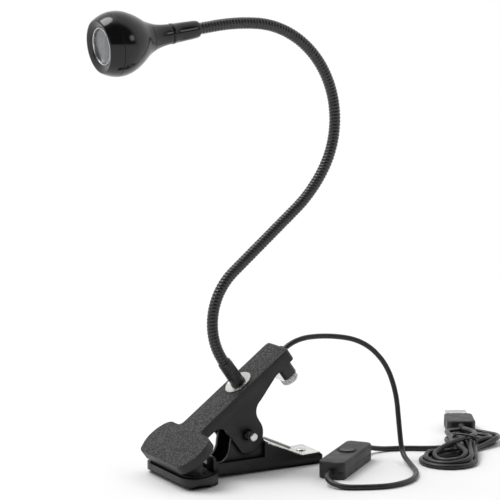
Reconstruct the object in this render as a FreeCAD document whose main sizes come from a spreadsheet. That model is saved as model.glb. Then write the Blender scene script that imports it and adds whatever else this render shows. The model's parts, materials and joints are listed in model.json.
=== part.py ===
import FreeCAD, Part
import math
import os
import Sketcher

# UV curing lamp: a sprung clip, a gooseneck, a ball-shaped LED head and a USB cord with a switch.
#
# Frame: +Z up, the floor at z = 0, +X from the jaws to the handles, Y across the clip.
# The clip pivot runs along Y. Two local frames are used besides the part's own:
# the arm frame (origin on the pivot, x along the upper arm, z out of its top face) and
# the head frame (origin at the ball's centre, z out of the lens).

V = FreeCAD.Vector

SIZES = [
    # clip as a whole
    ("pivot_offset", 8.65), ("pivot_height", 21.5), ("arm_tilt", 36.0),
    ("arm_width", 20.0), ("jaw_width", 51.4), ("wall", 1.8),
    # upper jaw, in the arm frame
    ("arm_top", 20.2), ("arm_rear", 45.6), ("rim_depth", 5.8), ("top_plate", 2.1), ("pad_rim", 5.2),
    ("ear_radius", 9.8), ("ear_front", 7.9),
    # lower jaw
    ("cheek_width", 15.8), ("cheek_radius", 7.6), ("tray_top", 6.1), ("tray_width", 50.0), ("jaw_rubber", 1.0),
    # pivot and spring
    ("pin_radius", 2.1), ("pin_length", 35.4), ("pin_running_gap", 0.05),
    ("spring_wire", 0.8), ("spring_radius", 4.6), ("spring_width", 10.4),
    ("plate_thickness", 0.8), ("plate_width", 18.6), ("rivet_radius", 1.6),
    # gooseneck and its fixing
    ("neck_radius", 2.8), ("neck_foot", 15.5), ("washer_radius", 7.65), ("washer_thickness", 1.0),
    ("sleeve_radius", 3.75), ("sleeve_length", 14.2), ("lock_nut_radius", 5.6),
    ("lock_nut_height", 3.0), ("joint_ball", 2.2), ("joint_back", 0.2), ("joint_front", 1.3),
    # cord anchor under the arm
    ("block_long", 8.5), ("block_wide", 11.0), ("block_deep", 9.4), ("block_centre", 40.1),
    ("thumb_nut_radius", 4.7), ("thumb_nut_height", 4.3), ("strap_thickness", 0.5), ("exit_depth", 4.2),
    # head
    ("ball_radius", 16.2), ("bezel_radius", 13.1), ("shell_wall", 1.8),
    ("lens_radius", 8.9), ("lens_thickness", 1.4), ("collar_length", 16.0),
    # cord, switch and plug
    ("cord_radius", 1.4), ("switch_long", 47.0), ("switch_wide", 14.5), ("switch_high", 9.4),
    ("button_radius", 4.0), ("button_travel", 1.5), ("hank_high", 6.4),
    ("plug_wide", 16.3), ("plug_long", 21.0), ("plug_high", 7.6),
    ("usb_wide", 12.0), ("usb_high", 4.5), ("usb_long", 13.2), ("usb_wall", 0.3),
]

doc = FreeCAD.newDocument("uv_curing_lamp")
sheet = doc.addObject("Spreadsheet::Sheet", "Sizes")
for row, (alias, value) in enumerate(SIZES, 1):
    sheet.set(f"A{row}", alias)
    sheet.set(f"B{row}", str(value))
    sheet.setAlias(f"B{row}", alias)
doc.recompute()

nodes = {}


def text_of(number):
    return number.text if isinstance(number, Dim) else repr(float(number))


class Dim(float):
    """A number that remembers the sheet expression it comes from."""

    def __new__(cls, value, text):
        made = super().__new__(cls, value)
        made.text = text
        return made

    def __add__(self, other):
        return Dim(float(self) + float(other), f"({self.text} + {text_of(other)})")

    def __radd__(self, other):
        return Dim(float(other) + float(self), f"({text_of(other)} + {self.text})")

    def __sub__(self, other):
        return Dim(float(self) - float(other), f"({self.text} - {text_of(other)})")

    def __rsub__(self, other):
        return Dim(float(other) - float(self), f"({text_of(other)} - {self.text})")

    def __mul__(self, other):
        return Dim(float(self) * float(other), f"({self.text} * {text_of(other)})")

    def __rmul__(self, other):
        return Dim(float(other) * float(self), f"({text_of(other)} * {self.text})")

    def __truediv__(self, other):
        return Dim(float(self) / float(other), f"({self.text} / {text_of(other)})")

    def __neg__(self):
        return Dim(-float(self), f"(-1 * {self.text})")


def size(alias):
    """The number in the sheet's cell, which stays bound to it wherever an outline uses it."""
    return Dim(getattr(sheet, alias), f"Sizes.{alias}")


def turn_y(point, degrees):
    """A point (x, z) turned in the XZ plane, from +X towards +Z."""
    a = math.radians(degrees)
    x, z = point
    return (x * math.cos(a) - z * math.sin(a), x * math.sin(a) + z * math.cos(a))


PIVOT = V(size("pivot_offset"), 0, size("pivot_height"))
CLIP = FreeCAD.Placement(PIVOT, FreeCAD.Rotation())
ARM = FreeCAD.Placement(PIVOT, FreeCAD.Rotation(V(0, 1, 0), -size("arm_tilt")))


def clip_to_arm(x, z):
    """A point given from the pivot in the part's own directions, in the arm frame."""
    return turn_y((x, z), -size("arm_tilt"))


def keep(obj, label, placement=None):
    """Name a finished sub-part and put it in its place."""
    obj.Label = label
    if placement is not None:
        obj.Placement = placement
    nodes[label] = obj
    return obj


def bind(obj, **expressions):
    """Tie properties of an object to the sheet."""
    for prop, text in expressions.items():
        obj.setExpression(prop, text)
    return obj


# ---------------------------------------------------------------- sketches and features

def plane(body, role):
    """A body's own origin plane."""
    return next(f for f in body.Origin.OriginFeatures if f.Role == role)


def draw(sketch, start, *steps):
    """Close an outline from start: a step (x, y) is a line, (mx, my, x, y) an arc through m.

    Each corner is held by two distances, bound to the sheet where its numbers come from it.
    """
    drawn = []
    here = start
    for step in steps + (start,):
        end = step[-2:]
        if math.dist(here, end) < 1e-6:
            continue
        if len(step) == 2:
            edge = Part.LineSegment(V(*here, 0), V(*end, 0))
        else:
            edge = Part.Arc(V(*here, 0), V(*step[:2], 0), V(*end, 0))
        index = sketch.addGeometry(edge, False)
        first = 1 if sketch.getPoint(index, 1).distanceToPoint(V(*here, 0)) < 1e-6 else 2
        drawn.append((index, first, end))
        here = end
    for (index, first, end), (after, near, _) in zip(drawn, drawn[1:] + drawn[:1]):
        sketch.addConstraint(Sketcher.Constraint("Coincident", index, 3 - first, after, near))
        for axis, amount in zip(("DistanceX", "DistanceY"), end):
            held = sketch.addConstraint(
                Sketcher.Constraint(axis, -1, 1, index, 3 - first, float(amount)))
            if isinstance(amount, Dim):
                sketch.setExpression(f"Constraints[{held}]", amount.text)


def body_sketch(body, role, start, *steps):
    """An outline on one of the body's origin planes."""
    sketch = body.newObject("Sketcher::SketchObject", body.Name + "_outline")
    sketch.AttachmentSupport = [(plane(body, role), "")]
    sketch.MapMode = "FlatFace"
    draw(sketch, start, *steps)
    return sketch


def turned(label, placement, *profile):
    """A piece turned about its local Z: the profile holds (radius, z) points and arcs."""
    body = doc.addObject("PartDesign::Body", label)
    sketch = body_sketch(body, "XZ_Plane", *profile)
    spin = body.newObject("PartDesign::Revolution", label + "_turned")
    spin.Profile = sketch
    spin.ReferenceAxis = (sketch, ["V_Axis"])
    spin.Angle = 360
    return keep(body, label, placement)


def dome(radius, rim, crown):
    """Arc of a spherical cap from its rim to its crown on the axis, as a step of an outline."""
    rise = crown - rim
    ball = (radius * radius + rise * rise) / (2 * rise)
    half = math.asin(radius / abs(ball)) / 2
    return (abs(ball) * math.sin(half), crown - ball + ball * math.cos(half), 0, crown)


def padded(label, role, length, placement, *outline):
    """A piece padded both ways from an origin plane of its body by a length from the sheet."""
    body = doc.addObject("PartDesign::Body", label)
    sketch = body_sketch(body, role, *outline)
    pad = body.newObject("PartDesign::Pad", label + "_pad")
    pad.Profile = sketch
    pad.SideType = "Symmetric"
    bind(pad, Length=length)
    return keep(body, label, placement)


SKETCH_TURN = {
    "X": FreeCAD.Rotation(V(1, 1, 1), 120),
    "Y": FreeCAD.Rotation(V(1, 0, 0), 90),
    "Z": FreeCAD.Rotation(),
}


def prism(name, normal, length, *outline):
    """A sketch swept both ways along X, Y or Z, for the booleans of the jaws."""
    sketch = doc.addObject("Sketcher::SketchObject", name + "_outline")
    sketch.Placement = FreeCAD.Placement(V(), SKETCH_TURN[normal])
    draw(sketch, *outline)
    solid = doc.addObject("Part::Extrusion", name)
    solid.Base = sketch
    solid.DirMode = "Normal"
    solid.Symmetric = True
    solid.Solid = True
    return bind(solid, LengthFwd=length)


def cylinder(name, radius, height, place):
    """A cylinder whose radius and height come from the sheet."""
    solid = doc.addObject("Part::Cylinder", name)
    solid.Placement = place
    return bind(solid, Radius=radius, Height=height)


def box(name, low, high):
    """A box between two corners."""
    solid = doc.addObject("Part::Box", name)
    solid.Length, solid.Width, solid.Height = [h - w for w, h in zip(low, high)]
    solid.Placement = FreeCAD.Placement(V(*low), FreeCAD.Rotation())
    return solid


def fuse(name, *shapes):
    joined = doc.addObject("Part::MultiFuse", name)
    joined.Shapes = list(shapes)
    joined.Refine = True
    return joined


def cut(name, base, tool):
    left = doc.addObject("Part::Cut", name)
    left.Base, left.Tool = base, tool
    left.Refine = True
    return left


def common(name, *shapes):
    shared = doc.addObject("Part::MultiCommon", name)
    shared.Shapes = list(shapes)
    shared.Refine = True
    return shared


def rounded(name, base, radius, wanted):
    """Fillet the straight or curved edges of base that wanted(edge) picks."""
    doc.recompute()
    picked = [(i, radius, radius) for i, e in enumerate(base.Shape.Edges, 1) if wanted(e)]
    fillet = doc.addObject("Part::Fillet", name)
    fillet.Base = base
    fillet.Edges = picked
    return fillet


ACROSS_Y = FreeCAD.Rotation(V(1, 0, 0), 90)


def pivot_hole(name, radius, length):
    """A cylinder along the pivot, centred on the clip's middle plane."""
    solid = cylinder(name, radius, length, FreeCAD.Placement(V(0, 0, 0), ACROSS_Y))
    solid.setExpression("Placement.Base.y", length + " / 2")
    return solid


# ---------------------------------------------------------------- jaw outlines

def both_sides(steps):
    """A half outline at +Y followed by its mirror image: arcs keep their middle points."""
    mirrored = []
    for step, before in zip(reversed(steps[1:]), reversed(steps[:-1])):
        end = (before[-2], -before[-1])
        mirrored.append(end if len(step) == 2 else (step[0], -step[1]) + end)
    return steps + [(steps[-1][-2], -steps[-1][-1])] + mirrored


def upper_plan(inset):
    """Half-moon plan of the upper jaw's pad, seen square to the arm: (x, y), arm to the right."""
    half, waist = size("jaw_width") / 2 - inset, size("arm_width") / 2 - inset
    rear, front = -20.5 - inset, -43.2 + inset
    return both_sides([
        (-17.2 - inset, waist), (rear + 0.9, waist + 0.9, rear, waist + 3.2), (rear, half - 6.9),
        (rear - 1.2, half - 4.0, rear - 4.0, half - 1.8),
        (-31.0, half, front + 3.4, half - 2.8),
        (front + 0.8, half - 4.9, front, half - 8.4),
    ])


def lower_plan(inset):
    """Plan of the lower jaw's tray, which narrows more towards the handle."""
    half, waist = size("tray_width") / 2 - inset, size("arm_width") / 2
    front = -43.4 + inset
    return both_sides([
        (-18.6 - inset, waist), (-19.4 - inset, waist + 3.2),
        (-21.6 - inset, half - 7.4, -25.6 - inset / 2, half - 3.9),
        (-30.2, half - 1.1, -35.0, half), (front + 3.2, half - 1.5, front + 0.6, half - 5.6),
        (front + 0.1, half - 7.8, front, half - 10.4),
    ])


# ---------------------------------------------------------------- lower clip

def lower_jaw():
    """Channel handle with nested cheeks, a half-moon tray at the front and a wall behind it."""
    floor = -size("pivot_height")
    tray_top = floor + size("tray_top")
    foot_front, foot_rear, ridge = 39.0, 46.5, 10.9
    handle = prism("handle_block", "Y", "Sizes.arm_width",
                   (-22.0, floor + 2.4), (foot_front, floor), (foot_rear - 1, floor),
                   (foot_rear, floor + 1), (foot_rear, -16.8), (foot_rear - 0.8, -16.0),
                   (34.3, -16.2), (ridge, -5.9), (ridge, -13.5), (-22.0, -13.5))
    ear = size("cheek_radius")
    cheeks = prism("cheek_block", "Y", "Sizes.cheek_width",
                   (12.6, -14.0), (12.6, -6.7), (ear * 0.77, ear * 0.64),
                   (0, ear, -ear * 0.94, ear * 0.34), (-8.6, -6.0),
                   (-10.0, -10.6, -14.5, -13.8))
    half, hull = size("tray_width") / 2, floor + 3.2
    tray = common("tray_block",
                  prism("tray_plan", "Z", "2 * Sizes.pivot_height + 10", *lower_plan(0)),
                  prism("tray_side", "Y", "Sizes.jaw_width",
                        (-18.6, floor), (-37.0, floor), (-41.2, floor + 1.1, -43.4, hull),
                        (-43.4, tray_top), (-18.6, tray_top)),
                  prism("tray_section", "X", "2 * Sizes.jaw_width",
                        (half - 6.4, floor), (half - 2.2, floor + 1.1, half, hull), (half, tray_top),
                        (-half, tray_top), (-half, hull), (-half + 2.2, floor + 1.1, -half + 6.4, floor)))
    outer, high, turn = 16.2, -8.0, 2.8
    k = turn * (1 - math.sqrt(0.5))
    wall = common("tray_back_wall",
                  prism("back_wall", "X", "2 * Sizes.jaw_width",
                        (-outer, floor + 2), (outer, floor + 2), (outer, high - turn),
                        (outer - k, high - k, outer - turn, high), (9.0, high), (9.0, floor + 4),
                        (-9.0, floor + 4), (-9.0, high), (-outer + turn, high),
                        (-outer + k, high - k, -outer, high - turn)),
                  box("back_wall_reach", (-23.4, -30, -30), (-21.6, 30, 0)))
    solid = fuse("lower_solid", handle, cheeks, tray, wall)
    channel = prism("channel_space", "Y", "Sizes.cheek_width - 2 * Sizes.wall",
                    (-18.5, -17.3), (34.0, -18.9), (34.0, 10.0), (-18.5, 10.0))
    rear_space = prism("rear_space", "Y", "Sizes.arm_width - 2 * Sizes.wall",
                       (13.2, -18.2), (44.6, -19.4), (44.6, 0.0), (13.2, 0.0))
    hole = pivot_hole("cheek_hole", "Sizes.pin_radius", "Sizes.arm_width")
    spaces = fuse("lower_spaces", channel, rear_space, hole)
    keep(cut("lower_jaw", solid, spaces), "lower_jaw", CLIP)


def lower_pad():
    """Ribbed rubber liner on the tray."""
    liner = prism("lower_liner", "Z", "Sizes.jaw_rubber", *lower_plan(1.6))
    grooves = [box(f"liner_groove_{i}", (-39.5 + 4.0 * i, -30, 0.15), (-38.5 + 4.0 * i, 30, 2.0))
               for i in range(3)]
    clear = box("liner_clear", (-26.5, -30, -2.0), (-15.0, 30, 2.0))
    pad = cut("lower_jaw_pad", liner, fuse("liner_cuts", clear, *grooves))
    up = PIVOT + V(0, 0, -size("pivot_height") + size("tray_top") + size("jaw_rubber") / 2)
    keep(pad, "lower_jaw_pad", FreeCAD.Placement(up, FreeCAD.Rotation()))


def handle_plate():
    """Bent steel plate on the lower handle, with its rivet."""
    thick = size("plate_thickness")
    bend, front, rear = (34.3, -16.2), (12.9, -6.8), (45.6, -16.0)
    strip = prism("plate_strip", "Y", "Sizes.plate_width",
                  front, bend, rear, (rear[0], rear[1] + thick),
                  (bend[0] + 0.1, bend[1] + thick), (front[0] + 0.3, front[1] + thick + 0.1))
    hole_at = V(39.2, 0, -18)
    hole = cylinder("plate_hole", "Sizes.rivet_radius", "6",
                    FreeCAD.Placement(hole_at, FreeCAD.Rotation()))
    keep(cut("handle_plate", strip, hole), "handle_plate", CLIP)
    shank, head = size("rivet_radius"), 2.6
    seat = -16.1 + thick + 0.05
    turned("plate_rivet", FreeCAD.Placement(PIVOT + V(hole_at.x, 0, 0), FreeCAD.Rotation()),
           (0, seat - 2.2), (shank, seat - 2.2), (shank, seat), (head, seat),
           (head, seat + 0.3), dome(head, seat + 0.3, seat + 1.0))


def pivot_pin():
    """Steel pin with bevelled ends, proud of the ears on both sides, and its two rings."""
    half, r, bevel = size("pin_length") / 2, size("pin_radius"), 0.4
    place = FreeCAD.Placement(PIVOT, ACROSS_Y)
    turned("pivot_pin", place, (0, -half), (r - bevel, -half), (r, -half + bevel),
           (r, half - bevel), (r - bevel, half), (0, half))
    inner = size("cheek_width") / 2 - size("wall") - 0.9
    rings = [turned(f"ring_{side}", FreeCAD.Placement(V(0, 0, side * inner), FreeCAD.Rotation()),
                    (r, -0.35), (r + 1.3, -0.35), (r + 1.3, 0.35), (r, 0.35)) for side in (-1, 1)]
    for ring in rings:
        nodes.pop(ring.Label)
    keep(fuse("pin_rings", *rings), "pin_rings", place)


def rod(points, radius):
    """Straight runs joined by tangent arcs, each as large as its two runs allow, swept round."""
    edges, radii = [], []
    here = points[0]
    for before, corner, after in zip(points, points[1:], points[2:]):
        back, on = before - corner, after - corner
        turn = math.pi - back.getAngle(on)
        reach = 0.45 * min(back.Length, on.Length)
        bend = reach / math.tan(turn / 2)
        start = corner + back.normalize() * reach
        end = corner + on.normalize() * reach
        inward = (back + on).normalize()
        middle = corner + inward * (bend / math.cos(turn / 2) - bend)
        edges.append(Part.LineSegment(here, start).toShape())
        edges.append(Part.Arc(start, middle, end).toShape())
        radii.append(bend)
        here = end
    edges.append(Part.LineSegment(here, points[-1]).toShape())
    path = Part.Wire(edges)
    circle = Part.Circle(points[0], points[1] - points[0], radius).toShape()
    solid = path.makePipeShell([Part.Wire([circle])], True, True)
    return solid, path.Length, radii


def torsion_spring():
    """Coil round the pin with one leg on the handle plate and one under the arm."""
    wire, coil = size("spring_wire"), size("spring_radius")
    half, leg = size("spring_width") / 2, size("spring_wire") - 0.05
    ring = Part.makeCylinder(coil + wire, 2 * half, V(0, -half, 0), V(0, 1, 0))
    ring = ring.cut(Part.makeCylinder(coil - wire, 2 * half, V(0, -half, 0), V(0, 1, 0)))
    low_y, high_y = -half + wire, half - wire
    low, _, _ = rod([V(0.6, low_y, -coil), V(13.6, low_y, -4.9), V(29.5, low_y, -12.1)], leg)
    under_plate = size("arm_top") - size("top_plate") - wire - 0.35
    high_x, high_z = turn_y((27.0, under_plate), size("arm_tilt"))
    way = V(high_x, high_y, high_z) - V(-coil * 0.9, high_y, 1.6)
    high = Part.makeCylinder(leg, way.Length, V(-coil * 0.9, high_y, 1.6), way)
    spring = doc.addObject("Part::Feature", "torsion_spring")
    spring.Shape = ring.fuse([low, high])
    keep(spring, "torsion_spring", CLIP)


# ---------------------------------------------------------------- upper clip

def upper_jaw():
    """Channel arm with two ears and a half-moon front pad, hollow underneath."""
    top, rear, rim = size("arm_top"), size("arm_rear"), size("rim_depth")
    ear, front = size("ear_radius"), -size("ear_front")
    ear_low = -math.sqrt(ear * ear - front * front)
    under = top - rim
    half, turn = size("arm_width") / 2, 2.8
    k = turn * (1 - math.sqrt(0.5))
    arm = common("arm_shape",
                 prism("arm_block", "Y", "Sizes.arm_width",
                       (-21.0, top), (rear - 1.2, top), (rear - 0.35, top - 0.35, rear, top - 1.2),
                       (rear, under - 0.4), (rear - 0.8, under - 1.1), (31.5, top - 7.0),
                       (17.0, 9.0), (12.3, 7.0, 10.1, 3.2), (ear, 0),
                       (ear * 0.2, -ear * 0.98, front, ear_low), (front, 9.0),
                       (front - 1.6, under - 1.7, front - 5.6, under), (-21.0, under)),
                 prism("arm_plan", "Z", "4 * Sizes.arm_top",
                       (-30.0, -half), (rear - turn, -half), (rear - k, -half + k, rear, -half + turn),
                       (rear, half - turn), (rear - k, half - k, rear - turn, half), (-30.0, half)))
    rim_low = top - size("pad_rim")
    bite_front, bite_rear = clip_to_arm(-46.0, -13.2), clip_to_arm(-34.4, -13.2)
    pad = common("pad_block",
                 prism("pad_side", "Y", "Sizes.jaw_width",
                       (-16.0, top), (-44.0, top), (-44.0, rim_low), (-16.0, rim_low)),
                 prism("pad_plan", "Z", "4 * Sizes.arm_top", *upper_plan(0)))
    bite = common("bite_block",
                  prism("bite_side", "Y", "Sizes.jaw_width",
                        (-30.6, top - 1), (-46.0, top - 1), bite_front, bite_rear,
                        (-31.2, rim_low - 0.4)),
                  prism("bite_plan", "Z", "4 * Sizes.arm_top", *upper_plan(1.5)))
    solid = fuse("upper_solid", arm, pad, bite)
    cheek_space = prism("cheek_space", "Y", "Sizes.arm_width - 2 * Sizes.wall + 0.2",
                        (-17.5, -12.0), (rear - 1.7, -12.0), (rear - 1.7, top - size("top_plate")),
                        (-17.5, top - size("top_plate")))
    pad_space = common("pad_space",
                       prism("pad_space_side", "Y", "Sizes.jaw_width",
                             (-16.5, 0), (-30.8, 0), (-30.8, top - size("top_plate")),
                             (-16.5, top - size("top_plate"))),
                       prism("pad_space_plan", "Z", "4 * Sizes.arm_top",
                             *upper_plan(size("wall"))))
    pin = pivot_hole("ear_hole", "Sizes.pin_radius + Sizes.pin_running_gap", "Sizes.jaw_width")
    seats = []
    for side in (-1, 1):
        deep = cylinder(f"ear_seat_{side + 1}", "Sizes.pin_radius + 0.8", "3",
                        FreeCAD.Placement(V(0, side * 9.5 + (3 if side > 0 else 0), 0), ACROSS_Y))
        seats.append(deep)
    foot = cylinder("neck_hole", "Sizes.neck_radius", "3 * Sizes.top_plate",
                    FreeCAD.Placement(V(size("neck_foot"), 0, top - 2 * size("top_plate")),
                                      FreeCAD.Rotation()))
    exit_hole = cylinder("cord_hole", "Sizes.cord_radius + 1.0", "6",
                         FreeCAD.Placement(V(rear - 3, 0, top - size("exit_depth")), FreeCAD.Rotation(V(0, 1, 0), 90)))
    spaces = fuse("upper_spaces", cheek_space, pad_space, pin, foot, exit_hole, *seats)
    keep(cut("upper_jaw", solid, spaces), "upper_jaw", ARM)


def upper_pad():
    """Rubber liner under the front of the upper jaw."""
    side = prism("upper_liner_side", "Z", "Sizes.jaw_rubber", *lower_plan(2.6))
    keep_front = box("upper_liner_front", (-50, -30, -2), (-34.9, 30, 2))
    pad = common("upper_jaw_pad", side, keep_front)
    up = PIVOT + V(0, 0, -13.2 - size("jaw_rubber") / 2)
    keep(pad, "upper_jaw_pad", FreeCAD.Placement(up, FreeCAD.Rotation()))


def neck_fixing():
    """Washer and sleeve above the arm, lock nut under it, all round the gooseneck's foot."""
    bore = size("neck_radius") + 0.05
    top = size("arm_top")
    thick, wide = size("washer_thickness"), size("washer_radius")

    def at(height):
        return ARM.multiply(FreeCAD.Placement(V(size("neck_foot"), 0, height), FreeCAD.Rotation()))

    turned("neck_washer", at(top), (bore, 0), (wide, 0), (wide, thick - 0.4), (wide - 0.5, thick),
           (wide - 1.3, thick), (wide - 1.6, thick - 0.2), (bore, thick - 0.2))
    sleeve, long = size("sleeve_radius"), size("sleeve_length")
    turned("neck_sleeve", at(top + thick - 0.2), (bore, 0), (sleeve + 0.25, 0), (sleeve, 4.0),
           (sleeve - 0.1, long - 0.8), (sleeve - 0.35, long - 0.15, sleeve - 0.7, long), (bore, long))
    hexagon = doc.addObject("Part::Prism", "lock_nut_hexagon")
    hexagon.Polygon = 6
    bind(hexagon, Circumradius="Sizes.lock_nut_radius", Height="Sizes.lock_nut_height")
    hole = cylinder("lock_nut_hole", "Sizes.neck_radius + 0.05", "Sizes.lock_nut_height",
                    FreeCAD.Placement())
    keep(cut("neck_lock_nut", hexagon, hole), "neck_lock_nut",
         at(top - size("top_plate") - size("lock_nut_height")))


def cord_anchor():
    """Block under the rear of the arm that clamps the cord, with its nut, strap and grommet."""
    long, wide, deep = size("block_long") / 2, size("block_wide") / 2, size("block_deep")
    centre, under = size("block_centre"), size("arm_top") - 7.0
    bevel = 1.6
    bottom = under - deep

    def at(height):
        return ARM.multiply(FreeCAD.Placement(V(centre, 0, height), FreeCAD.Rotation()))

    padded("cord_block", "XY_Plane", "Sizes.block_deep", at(bottom + deep / 2),
           (-long + bevel, -wide), (long - bevel, -wide), (long, -wide + bevel), (long, wide - bevel),
           (long - bevel, wide), (-long + bevel, wide), (-long, wide - bevel), (-long, -wide + bevel))
    nut, high = size("thumb_nut_radius"), size("thumb_nut_height")
    profile = [(0, -high), (nut - 1.0, -high), (nut - 0.3, -high + 0.5)]
    ridges = 3
    step = (high - 1.0) / ridges
    for i in range(ridges):
        z = -high + 0.5 + i * step
        profile += [(nut, z + step * 0.25), (nut, z + step * 0.75), (nut - 0.35, z + step)]
    profile += [(nut - 0.6, 0), (0, 0)]
    turned("thumb_nut", at(bottom), *profile)
    thin = size("strap_thickness")
    plate = box("strap_plate", (-long - thin, -wide + 1.6, -deep + 0.2), (-long, wide - 1.6, -1.2))
    keep(plate, "clamp_strap", at(under).multiply(plate.Placement))
    bore = size("cord_radius") + 0.05
    lip, ring = bore + 1.2, size("cord_radius") + 1.0
    rear = size("arm_rear")
    out = ARM.multiply(FreeCAD.Placement(V(rear, 0, size("arm_top") - size("exit_depth")),
                                         FreeCAD.Rotation(V(0, 1, 0), 90)))
    turned("cord_grommet", out, (bore, -1.65), (ring - 0.02, -1.65), (ring - 0.02, 0), (lip, 0),
           (lip, 0.8), (lip - 0.5, 1.3), (bore + 0.3, 1.6), (bore, 1.6))


# ---------------------------------------------------------------- gooseneck

LINE, ARC = "line", "arc"
# the neck's middle line, from the arm's top face to the ball's centre: (kind, length or radius, turn)
NECK_COURSE = [
    (LINE, 15.2, 0), (ARC, 34.1, -87.0), (LINE, 48.2, 0), (ARC, 72.6, 21.0),
    (ARC, 51.3, 116.2), (ARC, 119.6, 11.8), (LINE, 55.9, 0),
]
# distances of the six bending points along that line
NECK_JOINTS = [44.0, 92.0, 134.0, 172.0, 212.0, 252.0]
NECK_START, NECK_END = -5.0, 298.0


def course_length(kind, amount, turn):
    return amount if kind == LINE else amount * math.radians(abs(turn))


def neck_point(distance):
    """Point (x, z) from the pivot and direction in degrees at a distance along the neck."""
    foot = (size("neck_foot"), size("arm_top"))
    x, z = turn_y(foot, size("arm_tilt"))
    heading = 90.0 + size("arm_tilt")
    left = distance
    for kind, amount, turn in NECK_COURSE:
        long = course_length(kind, amount, turn)
        step = left if left < long or (kind, amount) == NECK_COURSE[-1][:2] else long
        bent = 0.0 if kind == LINE else math.copysign(math.degrees(step / amount), turn)
        chord = step if kind == LINE else 2 * amount * math.sin(math.radians(abs(bent)) / 2)
        way = math.radians(heading + bent / 2)
        x, z = x + chord * math.cos(way), z + chord * math.sin(way)
        heading += bent
        left -= step
        if left <= 0:
            break
    return x, z, heading


def neck_breaks(start, end):
    """Distances between start and end at which the course changes from line to arc."""
    breaks, total = [start], 0.0
    for kind, amount, turn in NECK_COURSE:
        total += course_length(kind, amount, turn)
        if start < total < end:
            breaks.append(total)
    return breaks + [end]


def neck_section(label, start, end, ball, socket):
    """One stretch of the gooseneck as a pipe along lines and tangent arcs.

    The body's own frame sits at the stretch's start with z along the neck. A ball reaches
    back into the socket of the stretch below, so that the two can bend but stay together.
    """
    x0, z0, heading0 = neck_point(start)
    spin = FreeCAD.Rotation(V(0, 1, 0), 90 - heading0)
    body = doc.addObject("PartDesign::Body", label)
    circle = body.newObject("Sketcher::SketchObject", label + "_section")
    circle.AttachmentSupport = [(plane(body, "XY_Plane"), "")]
    circle.MapMode = "FlatFace"
    ring = circle.addGeometry(Part.Circle(V(), V(0, 0, 1), size("neck_radius")), False)
    round_ = circle.addConstraint(Sketcher.Constraint("Radius", ring, size("neck_radius")))
    circle.setExpression(f"Constraints[{round_}]", "Sizes.neck_radius")
    path = body.newObject("Sketcher::SketchObject", label + "_path")
    path.AttachmentSupport = [(plane(body, "XZ_Plane"), "")]
    path.MapMode = "FlatFace"

    def local(distance):
        x, z, heading = neck_point(distance)
        return turn_y((x - x0, z - z0), 90 - heading0), heading

    breaks = neck_breaks(start, end)
    for first, last in zip(breaks, breaks[1:]):
        (a, turn_a), (b, turn_b) = local(first), local(last)
        if abs(turn_a - turn_b) < 0.01:
            path.addGeometry(Part.LineSegment(V(*a, 0), V(*b, 0)), False)
        else:
            m = local((first + last) / 2)[0]
            path.addGeometry(Part.Arc(V(*a, 0), V(*m, 0), V(*b, 0)), False)
    pipe = body.newObject("PartDesign::AdditivePipe", label + "_pipe")
    pipe.Profile = circle
    pipe.Spine = path
    if ball:
        knob = body.newObject("PartDesign::AdditiveSphere", label + "_ball")
        bind(knob, Radius="Sizes.joint_ball")
        knob.Placement = FreeCAD.Placement(V(0, 0, -size("joint_front")), FreeCAD.Rotation())
    if socket:
        (x, z), _ = local(end + size("joint_back"))
        cup = body.newObject("PartDesign::SubtractiveSphere", label + "_socket")
        bind(cup, Radius="Sizes.joint_ball + Sizes.pin_running_gap")
        cup.Placement = FreeCAD.Placement(V(x, 0, z), FreeCAD.Rotation())
    keep(body, label, FreeCAD.Placement(PIVOT + V(x0, 0, z0), spin))


def gooseneck():
    back, front = size("joint_back"), size("joint_front")
    stops = [NECK_START] + NECK_JOINTS + [NECK_END]
    for k, (low, high) in enumerate(zip(stops, stops[1:])):
        label = "neck_foot" if k == 0 else "neck_tip" if k == 6 else f"neck_section_{k}"
        first = low if k == 0 else low + front
        last = high if k == 6 else high - back
        neck_section(label, first, last, ball=k > 0, socket=k < 6)


# ---------------------------------------------------------------- head

def head_frame():
    x, z, heading = neck_point(sum(course_length(*c) for c in NECK_COURSE))
    return FreeCAD.Placement(PIVOT + V(x, 0, z), FreeCAD.Rotation(V(0, 1, 0), 90 - heading))


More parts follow.
